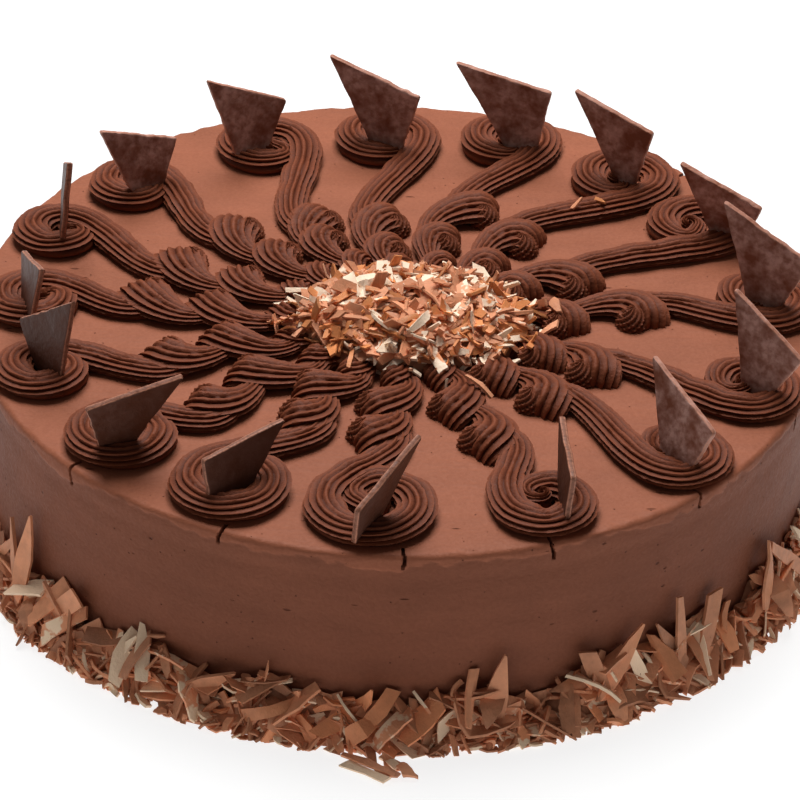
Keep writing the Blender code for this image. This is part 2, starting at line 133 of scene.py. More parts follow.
HAND_SET = {
    1: Shard(-54, 94, 13, 0.95, 30, 25, 5),
    2: Shard(-4, 103, 12, 1.0, -20, 15, 0),
    3: Shard(45, 104, 11, 1.0, -15, 10, 0),
    4: Shard(80, 84, 7, 0.9, -30, 15, -5),
    5: Shard(114, 51, 13, 0.9, -25, 20, -10),
    6: Shard(121, 6, 12, 1.0, -25, 25, 0),
    7: Shard(114, -46, 11, 0.9, -35, 30, 5),
    8: Shard(87, -91, 15, 0.95, -50, 20, 10),
    9: Shard(52, -125, 17, 0.95, -85, 0, 5),
    10: Shard(-12, -129, 15, 0.95, -120, 20, 15),
    11: Shard(-54, -119, 17, 0.9, -140, 5, -5),
    12: Shard(-90, -88, 10, 0.9, -160, 15, 15),
    13: Shard(-110, -53, 16, 0.95, 130, 35, -5),
    14: Shard(-124, -12, 17, 0.95, 105, 20, -5),
    15: Shard(-116, 33, 12, 1.0, 95, 30, -5),
    16: Shard(-87, 67, 13, 0.9, 35, 20, 5),
}
# The triangles with bloom, whose faces are also painted lighter as painted light; the rest are painted darker
# as painted shade.
BLOOMED_AND_PAINTED_LIGHT = (1, 2, 3, 4, 5, 6, 7, 8, 16)


class Stray(NamedTuple):
    """One shaving that lies off the heap: its plan place and length in millimetres."""

    x: float
    y: float
    length: float
    cream: bool


HAND_STRAYS = (
    Stray(60, 62.5, 7, False),
    Stray(68.7, 66.5, 7, False),
    Stray(27, -53.6, 11, False),
    Stray(49, -20, 9, False),
    Stray(46.7, -38, 7, True),
    Stray(16.6, -51.8, 7, True),
    Stray(-33, -6, 10, True),
    Stray(-24.5, -27, 14, True),
    Stray(35.5, 7, 9, True),
    Stray(-5.5, 19.6, 6, False),
    Stray(52, -5, 10, False),
    Stray(-42, -16, 8, False),
)


class Fallen(NamedTuple):
    """One shaving that lies on the floor before the ring: its middle, length and width in
    millimetres and its turn about the vertical in degrees."""

    x: float
    y: float
    height: float
    length: float
    width: float
    turn: float
    cream: bool


HAND_FALLEN = (
    Fallen(-4.2, -152.5, 2.2, 12, 4.5, -82, False),
    Fallen(-4.8, -159.3, 2.7, 19, 3.6, -31, False),
    Fallen(-5.2, -161.6, 1.4, 16, 3.8, -31, True),
    Fallen(1.0, -162.3, 2.0, 8, 4.5, -20, False),
    Fallen(1.8, -156.6, 1.8, 8, 3.4, -50, True),
    Fallen(3.6, -158.4, 1.5, 8, 4.2, -28, False),
    Fallen(6.4, -160.8, 1.3, 7, 4.2, -60, False),
    Fallen(8.4, -162.4, 1.0, 5, 2.6, -10, False),
)


# Settings.


def length(name, description, default):
    """A length property in metres."""
    return bpy.props.FloatProperty(
        name=name, description=description, default=default, min=0.0, subtype="DISTANCE", unit="LENGTH"
    )


def share(name, description, default):
    """A plain number between 0 and 1."""
    return bpy.props.FloatProperty(
        name=name, description=description, default=default, min=0.0, max=1.0, subtype="FACTOR"
    )


def colour(name, description, default):
    """A colour in linear red, green and blue."""
    return bpy.props.FloatVectorProperty(
        name=name, description=description, default=default, min=0.0, max=1.0, size=3, subtype="COLOR"
    )


def count(name, description, default):
    """A number of things."""
    return bpy.props.IntProperty(name=name, description=description, default=default, min=0)


def power(name, description, default):
    """A light's power."""
    return bpy.props.FloatProperty(
        name=name, description=description, default=default, min=0.0, unit="POWER"
    )


class IcingSettings(bpy.types.PropertyGroup):
    """The smoothed buttercream over the whole cake."""

    rim_rounding: length("Rim rounding", "Radius of the rim between top and side", 1.6 * MM)
    unevenness: length("Unevenness", "How far the scraper left the icing from flat", 0.35 * MM)
    mark_depth: length("Mark depth", "Depth of the portion marks cut into the rim", 2.6 * MM)
    top_colour: colour("Icing colour", "The buttercream", (0.336, 0.113, 0.060))
    lip: length("Lip", "How far the top's icing stands out over the side under the rim", 0.3 * MM)
    # Painted shade: the side below the lip's border is painted darker than the top, for the light that falls
    # less on it.
    painted_side_shade: share("Side shade", "How much darker the scraped side is than the top", 0.28)
    # The icing's darker tone in its grain and streaks, and painted shade in the pits and the portion slits.
    dark_tone_and_painted_shade_colour: colour("Pit colour", "The shaded bottom of the pits", (0.085, 0.022, 0.012))


class PipingSettings(bpy.types.PropertyGroup):
    """The darker buttercream piped through a star nozzle."""

    ridges: count("Ridges", "Ridges all round the piped rope", 15)
    groove: share("Groove", "Depth of the grooves as a share of the rope's radius", 0.25)
    rope_width: length("Rope width", "Width of the rope where it leaves the shells", 11.0 * MM)
    rope_height: length("Rope height", "Height of the rope above the icing", 5.5 * MM)
    loop_width: length("Loop width", "Width of the rope in its curl", 13.5 * MM)
    loop_height: length("Loop height", "Height of the rope in its curl", 6.6 * MM)
    colour: colour("Piping colour", "The piped buttercream", (0.188, 0.050, 0.021))
    # Painted shade in the grooves between the ridges.
    groove_colour: colour("Groove colour", "The piping deep between its ridges", (0.075, 0.017, 0.007))


class ChocolateSettings(bpy.types.PropertyGroup):
    """The thin dark triangles."""

    short_leg: length("Short leg", "The triangle's short leg at full size", 36 * MM)
    long_leg: length("Long leg", "The triangle's long leg at full size", 40 * MM)
    thickness: length("Thickness", "Thickness of the plate", 2.1 * MM)
    snapped: length("Snapped corner", "How much is missing at each corner", 0.6 * MM)
    clearance: length("Foot", "Height above the icing where the plate ends in the piping", 1.8 * MM)
    # Lit and shaded copies of one chocolate: the face colour is painted light for the triangles at the back,
    # the clean colour painted shade for the others.
    painted_light_face_colour: colour("Face colour", "The chocolate", (0.200, 0.068, 0.040))
    painted_shade_face_colour: colour("Clean colour", "The faces with hardly any bloom", (0.072, 0.022, 0.011))
    bloom_colour: colour("Bloom colour", "The pale streaks on the faces", (0.60, 0.36, 0.30))
    # The broken edges' own colour, with a painted highlight along the arrises.
    edge_colour_and_painted_highlight: colour("Edge colour", "The bruised broken edges", (0.50, 0.215, 0.135))


class ShavingSettings(bpy.types.PropertyGroup):
    """The milk and white chocolate shavings."""

    heap_flakes: count("Heap flakes", "Shavings in the heap on top", 760)
    stray_flakes: count("Stray flakes", "Shavings fallen round the heap on the piping", 70)
    ring_flakes: count("Ring flakes", "Shavings in the ring round the foot", 2300)
    tall_flakes: count("Tall flakes", "Long shavings that stand against the side", 34)
    milk_colour: colour("Milk chocolate", "The common shavings", (0.66, 0.285, 0.152))
    amber_colour: colour("Amber", "The orange brown shavings", (0.66, 0.245, 0.090))
    cream_colour: colour("Cream", "The white chocolate shavings", (1.0, 0.78, 0.58))
    # Painted light: the ring's shavings are lighter and warmer copies of those on top, standing in for the
    # weaker light round the foot.
    ring_milk_painted_light_colour: colour("Ring milk", "The ring's common shavings", (0.80, 0.337, 0.176))
    ring_amber_painted_light_colour: colour("Ring amber", "The ring's redder shavings", (0.78, 0.30, 0.14))
    ring_cream_painted_light_colour: colour("Ring cream", "The ring's white chocolate shavings", (1.0, 0.73, 0.50))


class StageSettings(bpy.types.PropertyGroup):
    """The floor, the lights and the camera."""

    floor_colour: colour("Floor colour", "The plain pale floor", (0.25, 0.25, 0.25))
    floor_glow: share("Floor glow", "Light that the white table gives off itself", 0.82)
    right_share: share("Right rim share", "Power of the right rim light against the left one", 0.1)
    key_power: power("Key light", "Power of the soft light above", 22.0)
    fill_power: power("Fill light", "Power of the weak light in front", 0.5)
    rim_power: power("Rim lights", "Power of the two weak lights at the sides", 0.6)
    world_light: share("World light", "Strength of the light from all round", 0.11)


# Meshes from arrays.

MERGE_FINE = 0.01 * MM
MERGE_COARSE = 0.02 * MM
UP = np.array([0, 0, 1.0])


def around(angle):
    """The plan directions at angles from +X."""
    return np.stack([np.cos(angle), np.sin(angle)], axis=-1)


def unit(vectors):
    """Vectors of length 1 in the same directions."""
    return vectors / np.linalg.norm(vectors, axis=-1, keepdims=True)


def waves(points, size, seed, number=16):
    """Soft unevenness of about -1 to 1: the sum of cosines that run in random directions with
    crests about one size apart, each with its own start."""
    draw = np.random.default_rng(seed)
    ways = unit(draw.normal(size=(number, points.shape[-1])))
    ways *= (2 * np.pi / (size * draw.uniform(0.7, 1.5, number)))[:, None]
    starts = draw.uniform(0, 2 * np.pi, number)
    return np.cos(points @ ways.T + starts).sum(axis=-1) * math.sqrt(2 / number) * 0.6


def smooth(value, start, end):
    """0 before start, 1 after end, and a cubic with no corner between them."""
    part = np.clip((value - start) / (end - start), 0, 1)
    return part * part * (3 - 2 * part)


def grid_faces(rows, columns, closed_columns=True):
    """The four corners of every cell of a grid, each cell turned outwards where rows run along
    and columns run round leftwards."""
    row, column = np.meshgrid(np.arange(rows - 1), np.arange(columns - (not closed_columns)), indexing="ij")
    after = (column + 1) % columns
    low = row * columns
    high = (row + 1) * columns
    return np.stack([low + column, low + after, high + after, high + column], axis=-1).reshape(-1, 4)


def mesh_of(name, points, faces, values=None):
    """A mesh from points and four-cornered faces, with a float attribute for each named value."""
    mesh = bpy.data.meshes.new(name)
    points = np.ascontiguousarray(points.reshape(-1, 3), dtype=np.float32)
    faces = np.ascontiguousarray(faces, dtype=np.int32)
    mesh.vertices.add(len(points))
    mesh.vertices.foreach_set("co", points.ravel())
    mesh.loops.add(faces.size)
    mesh.loops.foreach_set("vertex_index", faces.ravel())
    mesh.polygons.add(len(faces))
    mesh.polygons.foreach_set("loop_start", np.arange(0, faces.size, faces.shape[1], dtype=np.int32))
    mesh.update(calc_edges=True)
    for key, value in (values or {}).items():
        layer = mesh.attributes.new(key, "FLOAT", "POINT")
        layer.data.foreach_set("value", np.ascontiguousarray(value.reshape(-1), dtype=np.float32))
    return mesh


def clean(mesh, merge):
    """Merges points that meet within a distance, drops empty faces and turns the rest outwards."""
    shape = bmesh.new()
    shape.from_mesh(mesh)
    bmesh.ops.remove_doubles(shape, verts=shape.verts, dist=merge)
    bmesh.ops.dissolve_degenerate(shape, edges=shape.edges, dist=merge)
    bmesh.ops.recalc_face_normals(shape, faces=shape.faces)
    shape.to_mesh(mesh)
    shape.free()


def show(name, mesh, finish, smooth_angle):
    """A piece from a mesh, shaded smooth up to an angle in degrees, on the cake's one body."""
    mesh.materials.append(finish)
    mesh.shade_smooth()
    mesh.set_sharp_from_angle(angle=math.radians(smooth_angle))
    piece = bpy.data.objects.new(name, mesh)
    bpy.context.scene.collection.objects.link(piece)
    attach(piece, "root")
    return piece


# Finishes.

BLACK = (0.0, 0.0, 0.0)
WHITE = (1.0, 1.0, 1.0)
# Grain and streaks darken the icing as its own tone; pits and the portion slits are darkened as painted
# shade.
ICING_TONE_AND_PAINTED_SHADE = {"grain": 0.16, "streaks": 0.1, "pits": 0.6, "slit_painted_shade": 0.85}
STREAK_HEIGHT = 0.35
GRAIN_HEIGHT = 0.22
BLOOM_SHARE = 0.8
BRIGHTEST_FLAKE = 1.35
TINT_SHARE = 0.7
MARBLED_FROM = 0.86
GLOSS_SPAN = 0.15


def add(tree, kind, links=None, **settings):
    """A node with its settings, and its inputs set to numbers or joined to other sockets."""
    node = tree.nodes.new(kind)
    for key, value in settings.items():
        setattr(node, key, value)
    for key, value in (links or {}).items():
        if isinstance(value, bpy.types.NodeSocket):
            tree.links.new(value, node.inputs[key])
        else:
            node.inputs[key].default_value = value
    return node


def maths(tree, operation, first, second):
    """The result of one Math node."""
    return add(tree, "ShaderNodeMath", {0: first, 1: second}, operation=operation).outputs[0]


def remap(tree, value, low, high, new_low=0.0, new_high=1.0):
    """A value from one span to another, held at its ends."""
    links = {"Value": value, "From Min": low, "From Max": high, "To Min": new_low, "To Max": new_high}
    return add(tree, "ShaderNodeMapRange", links).outputs[0]


def blend(tree, factor, first, second):
    """A mix of two colours."""
    links = {0: factor, 6: first, 7: second}
    return add(tree, "ShaderNodeMix", links, data_type="RGBA").outputs[2]


def opaque(values, factor=1.0):
    """A colour made lighter or darker by a factor, with its alpha."""
    return (*(min(1.0, value * factor) for value in values), 1.0)


def attribute(tree, name):
    """The value of a mesh's attribute."""
    return add(tree, "ShaderNodeAttribute", attribute_name=name).outputs["Fac"]


def mottle(group, taken, place, scale):
    """Mottle: soft cloudy variation, a noise with three finer layers, as a mask from 0 to 1."""
    links = {"Vector": place, "Scale": scale, "Detail": 3.0, "Roughness": 0.55}
    return remap(group, add(group, "ShaderNodeTexNoise", links).outputs[0], 0.3, 0.7)


def pores(group, taken, place, scale):
    """Pores: small separate hollows. The distance to the nearest random point is cut off at a
    width, and each point's own random colour decides whether it is open."""
    cells = add(group, "ShaderNodeTexVoronoi", {"Vector": place, "Scale": scale}).outputs
    inner = maths(group, "DIVIDE", taken["Width"], 2.0)
    near = remap(group, cells["Distance"], inner, taken["Width"], 1.0, 0.0)
    split = add(group, "ShaderNodeSeparateColor", {0: cells["Color"]})
    open_ones = maths(group, "LESS_THAN", split.outputs[0], taken["Share"])
    return maths(group, "MULTIPLY", near, open_ones)


PATTERNS = {
    "mottle": (mottle, {"Size": 0.01}),
    "pores": (pores, {"Size": 0.004, "Width": 0.2, "Share": 0.4}),
}


def pattern_group(name):
    """A pattern's node group, built once: it takes the pattern's numbers and a stretch, and
    gives its mask at the object's own coordinates."""
    found = bpy.data.node_groups.get(name)
    if found:
        return found
    pattern, defaults = PATTERNS[name]
    group = bpy.data.node_groups.new(name, "ShaderNodeTree")
    for label, default in defaults.items():
        socket = group.interface.new_socket(label, in_out="INPUT", socket_type="NodeSocketFloat")
        socket.default_value = default
    stretch = group.interface.new_socket("Stretch", in_out="INPUT", socket_type="NodeSocketVector")
    stretch.default_value = (1, 1, 1)
    group.interface.new_socket("Mask", in_out="OUTPUT", socket_type="NodeSocketFloat")
    taken = add(group, "NodeGroupInput").outputs
    given = add(group, "NodeGroupOutput")
    links = {0: add(group, "ShaderNodeTexCoord").outputs["Object"], 1: taken["Stretch"]}
    stretched = add(group, "ShaderNodeVectorMath", links, operation="MULTIPLY").outputs[0]
    scale = maths(group, "DIVIDE", 1.0, taken["Size"])
    group.links.new(pattern(group, taken, stretched, scale), given.inputs["Mask"])
    return group


def placed(tree, name, **values):
    """A pattern in a tree with its values, and its mask."""
    node = add(tree, "ShaderNodeGroup", node_tree=pattern_group(name))
    for key, value in values.items():
        node.inputs[key.capitalize()].default_value = value
    return node.outputs["Mask"]


def new_finish(name):
    """An empty material with its tree and its shader."""
    finish = bpy.data.materials.new(name)
    finish.use_nodes = True
    tree = finish.node_tree
    return finish, tree, tree.nodes["Principled BSDF"]


def join(tree, shader, base, roughness, height, distance, specular):
    """Feeds a shader's colour and roughness, and its normal from a height of some distance, and
    sets how strongly it mirrors."""
    bump = add(tree, "ShaderNodeBump", {"Height": height, "Strength": 1.0, "Distance": distance})
    for key, socket in (("Base Color", base), ("Roughness", roughness), ("Normal", bump.outputs[0])):
        tree.links.new(socket, shader.inputs[key])
    shader.inputs["Specular IOR Level"].default_value = specular


def icing_finish(settings):
    """Matte buttercream: cloudy colour, short pits drawn out by the scraper, and fine grain, with painted
    shade in the pits, in the portion slits and on the side.
    """
    finish, tree, shader = new_finish("smoothed_buttercream")
    cloud = placed(tree, "mottle", size=0.035)
    grain = placed(tree, "mottle", size=0.0012)
    streaks = placed(tree, "mottle", size=0.006, stretch=(0.12, 1.0, 1.0))
    dashes = placed(tree, "pores", size=0.0048, width=0.11, share=0.42, stretch=(0.3, 1.0, 1.0))
    specks = placed(tree, "pores", size=0.0036, width=0.09, share=0.4)
    pits = maths(tree, "MAXIMUM", dashes, specks)
    base = blend(tree, cloud, opaque(settings.top_colour, 0.9), opaque(settings.top_colour, 1.07))
    # Painted shade: the side below the lip's border is darkened towards black.
    shaded = maths(tree, "MULTIPLY", attribute(tree, "side"), settings.painted_side_shade)
    base = blend(tree, shaded, base, opaque(BLACK))
    masks = {"grain": grain, "streaks": streaks, "pits": pits, "slit_painted_shade": attribute(tree, "slit_painted_shade")}
    # Each mask darkens the icing: grain and streaks as tone, pits and slits as painted shade.
    for name, strength in ICING_TONE_AND_PAINTED_SHADE.items():
        amount = maths(tree, "MULTIPLY", masks[name], strength)
        base = blend(tree, amount, base, opaque(settings.dark_tone_and_painted_shade_colour))
    height = maths(tree, "MULTIPLY", streaks, STREAK_HEIGHT)
    height = maths(tree, "ADD", height, maths(tree, "MULTIPLY", grain, GRAIN_HEIGHT))
    height = maths(tree, "SUBTRACT", height, pits)
    join(tree, shader, base, remap(tree, grain, 0, 1, 0.5, 0.62), height, 0.4 * MM, 0.1)
    return finish


def piping_finish(settings):
    """Dark buttercream: painted shade darkens it down in its grooves, with a soft sheen and a fine grain."""
    finish, tree, shader = new_finish("piped_buttercream")
    cloud = placed(tree, "mottle", size=0.012)
    grain = placed(tree, "mottle", size=0.0009)
    base = blend(tree, cloud, opaque(settings.colour), opaque(settings.colour, 1.18))
    # Painted shade: the grooves are darkened towards the groove colour.
    base = blend(tree, attribute(tree, "ridge"), opaque(settings.groove_colour), base)
    join(tree, shader, base, remap(tree, grain, 0, 1, 0.5, 0.64), grain, 0.12 * MM, 0.13)
    return finish


def chocolate_finish(settings):
    """Dark chocolate: pale bloomed streaks on the faces, faces painted lighter or darker as painted light and
    shade, and edges with a painted highlight along their arrises.
    """
    finish, tree, shader = new_finish("dark_chocolate")
    patches = placed(tree, "mottle", size=0.0075)
    streaks = placed(tree, "mottle", size=0.0024)
    grain = placed(tree, "mottle", size=0.0011)
    edge = attribute(tree, "edge")
    bloom_and_painted_light = attribute(tree, "bloom_and_painted_light")
    streaked = remap(tree, streaks, 0.1, 0.8, 0.3, 1.0)
    bloomed = maths(tree, "MULTIPLY", remap(tree, patches, 0.1, 0.75), streaked)
    shown = maths(tree, "MULTIPLY", bloomed, maths(tree, "MULTIPLY", bloom_and_painted_light, BLOOM_SHARE))
    # Painted light and shade: the bloomed triangles get the lit face colour, the others the shaded one.
    base = blend(tree, bloom_and_painted_light, opaque(settings.painted_shade_face_colour), opaque(settings.painted_light_face_colour))
    base = blend(tree, shown, base, opaque(settings.bloom_colour))
    # Painted highlight: the arrises get the full pale edge colour, the middle of the edge only part of it.
    edge_painted_highlight = maths(tree, "MULTIPLY", edge, remap(tree, grain, 0.1, 0.6, 0.45, 1.0))
    base = blend(tree, edge_painted_highlight, base, opaque(settings.edge_colour_and_painted_highlight))
    join(tree, shader, base, remap(tree, bloomed, 0, 1, 0.42, 0.62), streaks, 0.15 * MM, 0.16)
    return finish


def shaving_finish(name, base_colour, cream_colour, gloss, darkest):
    """Shaved chocolate: each flake lighter or darker down to a share, scratched along by the
    blade, and the flakes of the highest tints marbled with cream patches."""
    finish, tree, shader = new_finish(name)
    tint = attribute(tree, "tint")
    cloud = placed(tree, "mottle", size=0.005)
    grain = placed(tree, "mottle", size=0.0008, stretch=(1.0, 1.0, 0.3))
    brighter = min(BRIGHTEST_FLAKE, 1.0 / max(base_colour))
    own = maths(tree, "MULTIPLY", tint, TINT_SHARE)
    mixed = maths(tree, "ADD", own, maths(tree, "MULTIPLY", cloud, 1 - TINT_SHARE))
    base = blend(tree, mixed, opaque(base_colour, brighter * darkest), opaque(base_colour, brighter))
    marbled = maths(tree, "GREATER_THAN", tint, MARBLED_FROM)
    patches = remap(tree, placed(tree, "mottle", size=0.0065), 0.5, 0.62)
    base = blend(tree, maths(tree, "MULTIPLY", marbled, patches), base, opaque(cream_colour))
    roughness = remap(tree, grain, 0, 1, gloss, gloss + GLOSS_SPAN)
    join(tree, shader, base, roughness, grain, 0.1 * MM, 0.2)
    return finish


# The iced cake.


def portion_angle(number):
    """The plan direction of a portion, from +X towards +Y."""
    return math.radians(-90 + (FRONT_PORTION - number) * 360 / PORTIONS)


def icing_skin(settings):
    """The icing as one surface of revolution: a profile from the middle of the top over the rim
    and down the side to the middle of the underside, carried round. Each point is moved by long
    soft waves, the rim by short ones. The icing of the top hangs over the rim as a thin lip with
    an uneven border, and a narrow swaying crack is pressed into the rim at each portion."""
    rounding = settings.rim_rounding
    inner = CAKE_RADIUS - rounding
    corner = np.linspace(0, np.pi / 2, 6)
    upper_side = np.linspace(rounding + 0.5 * MM, 11 * MM, 20)
    lower_side = np.linspace(11 * MM, CAKE_TOP - 0.4 * MM, 26)[1:]
    down_side = np.concatenate([upper_side, lower_side])
    radius = np.concatenate(
        [
            np.linspace(0, inner * 0.96, 44),
            np.linspace(inner * 0.965, inner, 8)[:-1],
            inner + rounding * np.sin(corner),
            np.full(len(down_side), CAKE_RADIUS),
            [CAKE_RADIUS - 1.0 * MM, 0.0],
        ]
    )
    height = np.concatenate(
        [
            np.full(51, CAKE_TOP),
            CAKE_TOP - rounding * (1 - np.cos(corner)),
            CAKE_TOP - down_side,
            [0.0, 0.0],
        ]
    )
    marks = np.array([portion_angle(number) for number in HAND_PIPED])
    marks = marks + np.random.default_rng(5).uniform(-0.03, 0.03, len(marks))
    cut = np.array([-1.6, -1.1, -0.7, -0.3, 0.3, 0.7, 1.1, 1.6]) * MM / CAKE_RADIUS
    even = np.linspace(0, 2 * np.pi, 560, endpoint=False)
    angle = np.sort(np.concatenate([even, ((marks[:, None] + cut) % (2 * np.pi)).ravel()]))
    out = around(angle)
    points = np.zeros((len(radius), len(angle), 3))
    points[..., :2] = radius[:, None, None] * out
    points[..., 2] = height[:, None]
    on_side = smooth(radius, inner, CAKE_RADIUS)[:, None] * (height > 0.2 * MM)[:, None]
    near_rim = smooth(radius, inner - 2 * MM, inner)
    rim = (np.exp(-(((CAKE_TOP - height) / (1.8 * MM)) ** 2)) * near_rim)[:, None]
    slow = waves(points * np.array([0.4, 1.0, 1.6]), 45 * MM, 1) * settings.unevenness
    bands = waves(points[..., 2:], 11 * MM, 2, 6) * settings.unevenness * 0.5
    ragged = waves(points, 7 * MM, 3) * 0.22 * MM + waves(points, 2.6 * MM, 4) * 0.1 * MM
    turned = np.angle(np.exp(1j * (angle[:, None] - marks))) * CAKE_RADIUS
    reach = 4.5 * MM + 3.0 * MM * np.random.default_rng(6).uniform(0, 1, len(marks))
    below = (CAKE_TOP - height)[:, None, None]
    sway = 0.45 * MM * np.sin(below / (1.3 * MM) + np.arange(len(marks)) * 2.1)
    slit = (np.abs(turned - sway) < 0.48 * MM) * (1 - smooth(below / reach, 0.8, 1.0))
    slit = (slit * (radius > inner - 2.5 * MM)[:, None, None]).max(axis=-1)
    ring = out * CAKE_RADIUS
    border = (3.2 + 2.3 * waves(ring, 34 * MM, 7) + 0.8 * waves(ring, 7 * MM, 8)) * MM
    border = np.maximum(border, 0.7 * MM)
    # Below the lip's uneven border the side is marked by the side attribute, for painted shade.
    lip = 1 - smooth(below[..., 0] - border, -0.35 * MM, 0.35 * MM)
    inward = -slow * 0.5 * on_side + bands * on_side + ragged * rim * 0.7 - slit * settings.mark_depth
    inward = inward + lip * on_side * settings.lip
    points[..., :2] += inward[..., None] * out * (radius > 0)[:, None, None]
    on_top = (1 - smooth(radius, inner * 0.97, CAKE_RADIUS)) * (height > CAKE_TOP - 1 * MM)
    points[..., 2] += slow * 0.5 * on_top[:, None] + ragged * rim * 0.8
    points[..., 2] -= slit * settings.mark_depth * 0.5 * (height > CAKE_TOP - 1 * MM)[:, None]
    faces = grid_faces(*points.shape[:2])
    # The slit mask carries painted shade into the portion slits.
    return mesh_of("iced_cake_skin", points, faces, {"slit_painted_shade": slit * 1.0, "side": 1 - lip})


# The piping.

FIRST_TURN = 258
SECOND_TURN = 430


def crest_at(phase):
    """How far out on its ridge each place lies: 0 in a groove, at a whole phase, and 1 on the
    crest halfway to the next groove."""
    return 1 - (np.abs((phase % 1.0) - 0.5) * 2) ** 1.2


def heading_of(plan):
    """The direction in radians in which a plan path runs at each of its points."""
    direction = np.gradient(plan, axis=0)
    return np.unwrap(np.arctan2(direction[:, 1], direction[:, 0]))


def path_length(path):
    """The length of a path from its first point to its last."""
    return np.linalg.norm(np.diff(path, axis=0), axis=1).sum()


def tube(path, heading, half_width, half_height, settings, floor, seed, twist=0.0, crests=9):
    """A ridged rope along a path. Each section is an ellipse across the path, its radius cut
    in by a groove between every two ridges, and what would lie under the floor is pressed flat
    on it. The heading is the path's plan direction, and the section's other axis stands square
    to both, so the rope may bend down. The sections turn by the twist on their way, so the
    ridges wind. Gives points, and how far out each lies on its ridge."""
    steps = 6
    ridge = 2 * np.pi / settings.ridges
    upper = np.pi / 2 + (np.arange(crests * steps + 1) / steps - crests / 2) * ridge
    under = np.linspace(upper[-1], upper[0] + 2 * np.pi, 6)[1:-1]
    angle = np.concatenate([upper, under])
    crest = crest_at((angle - np.pi / 2) / ridge + 0.5)
    along = unit(np.gradient(path, axis=0))
    side = np.stack([-np.sin(heading), np.cos(heading), np.zeros_like(heading)], axis=-1)
    up = np.cross(along, side)
    steady = np.linspace(0, 1, len(path))[:, None]
    wander = 1 + 0.25 * waves(np.stack(np.broadcast_arrays(steady * 9, angle * 2.2), axis=-1), 1.0, seed)
    radius = 1 - settings.groove * (1 - crest) * wander
    wound = angle + np.broadcast_to(twist, len(path))[:, None]
    across = half_width[:, None] * np.cos(wound) * radius
    rise = half_height[:, None] * np.sin(wound) * radius
    points = path[:, None, :] + side[:, None, :] * across[..., None] + up[:, None, :] * rise[..., None]
    torn = waves(points, 2.2 * MM, seed + 1) * 0.13 * MM + waves(points, 0.9 * MM, seed + 2) * 0.06 * MM
    middle = path[:, None, :]
    spread = points - middle
    points = middle + spread * (1 + (torn * crest / np.linalg.norm(spread, axis=-1))[..., None])
    ends = [np.repeat(path[index][None, None], len(angle), axis=1) for index in (0, -1)]
    points = np.concatenate([ends[0], points, ends[1]])
    points[..., 2] = np.maximum(points[..., 2], floor)
    shown = np.broadcast_to(crest, points.shape[:2])
    return points, shown


def curve(first, second, third, fourth, part):
    """Points of a cubic curve from first to fourth that the two others pull on."""
    part = np.asarray(part)[:, None]
    rest = 1 - part
    return first * rest**3 + second * 3 * rest**2 * part + third * 3 * rest * part**2 + fourth * part**3


def even_path(path, step):
    """A path's points again, an even step apart."""
    lengths = np.concatenate([[0], np.cumsum(np.linalg.norm(np.diff(path, axis=0), axis=1))])
    number = max(4, int(round(lengths[-1] / step)) + 1)
    places = np.linspace(0, lengths[-1], number)
    return np.stack([np.interp(places, lengths, path[:, axis]) for axis in range(path.shape[1])], axis=-1)


def axes(number):
    """A portion's outward and leftward plan directions."""
    angle = portion_angle(number)
    return np.array([math.cos(angle), math.sin(angle)]), np.array([-math.sin(angle), math.cos(angle)])


def plan_place(number, turn, reach):
    """A plan point at a turn in degrees from a portion's middle and a reach in metres."""
    outward, left = axes(number)
    angle = math.radians(turn)
    return PIPING_CENTRE + (outward * math.cos(angle) + left * math.sin(angle)) * reach


def shell_places(number):
    """The plan places of a portion's three shell heads from the outermost, and the last tail."""
    made = HAND_PIPED[number]
    head_a = plan_place(number, made.shell_a_turn, made.shell_a_reach * MM)
    head_b = plan_place(number, made.shell_b_turn, made.shell_b_reach * MM)
    head_c = plan_place(number, 0, min(37, made.shell_b_reach - 11) * MM)
    return head_a, head_b, head_c, plan_place(number, 0, 27 * MM)


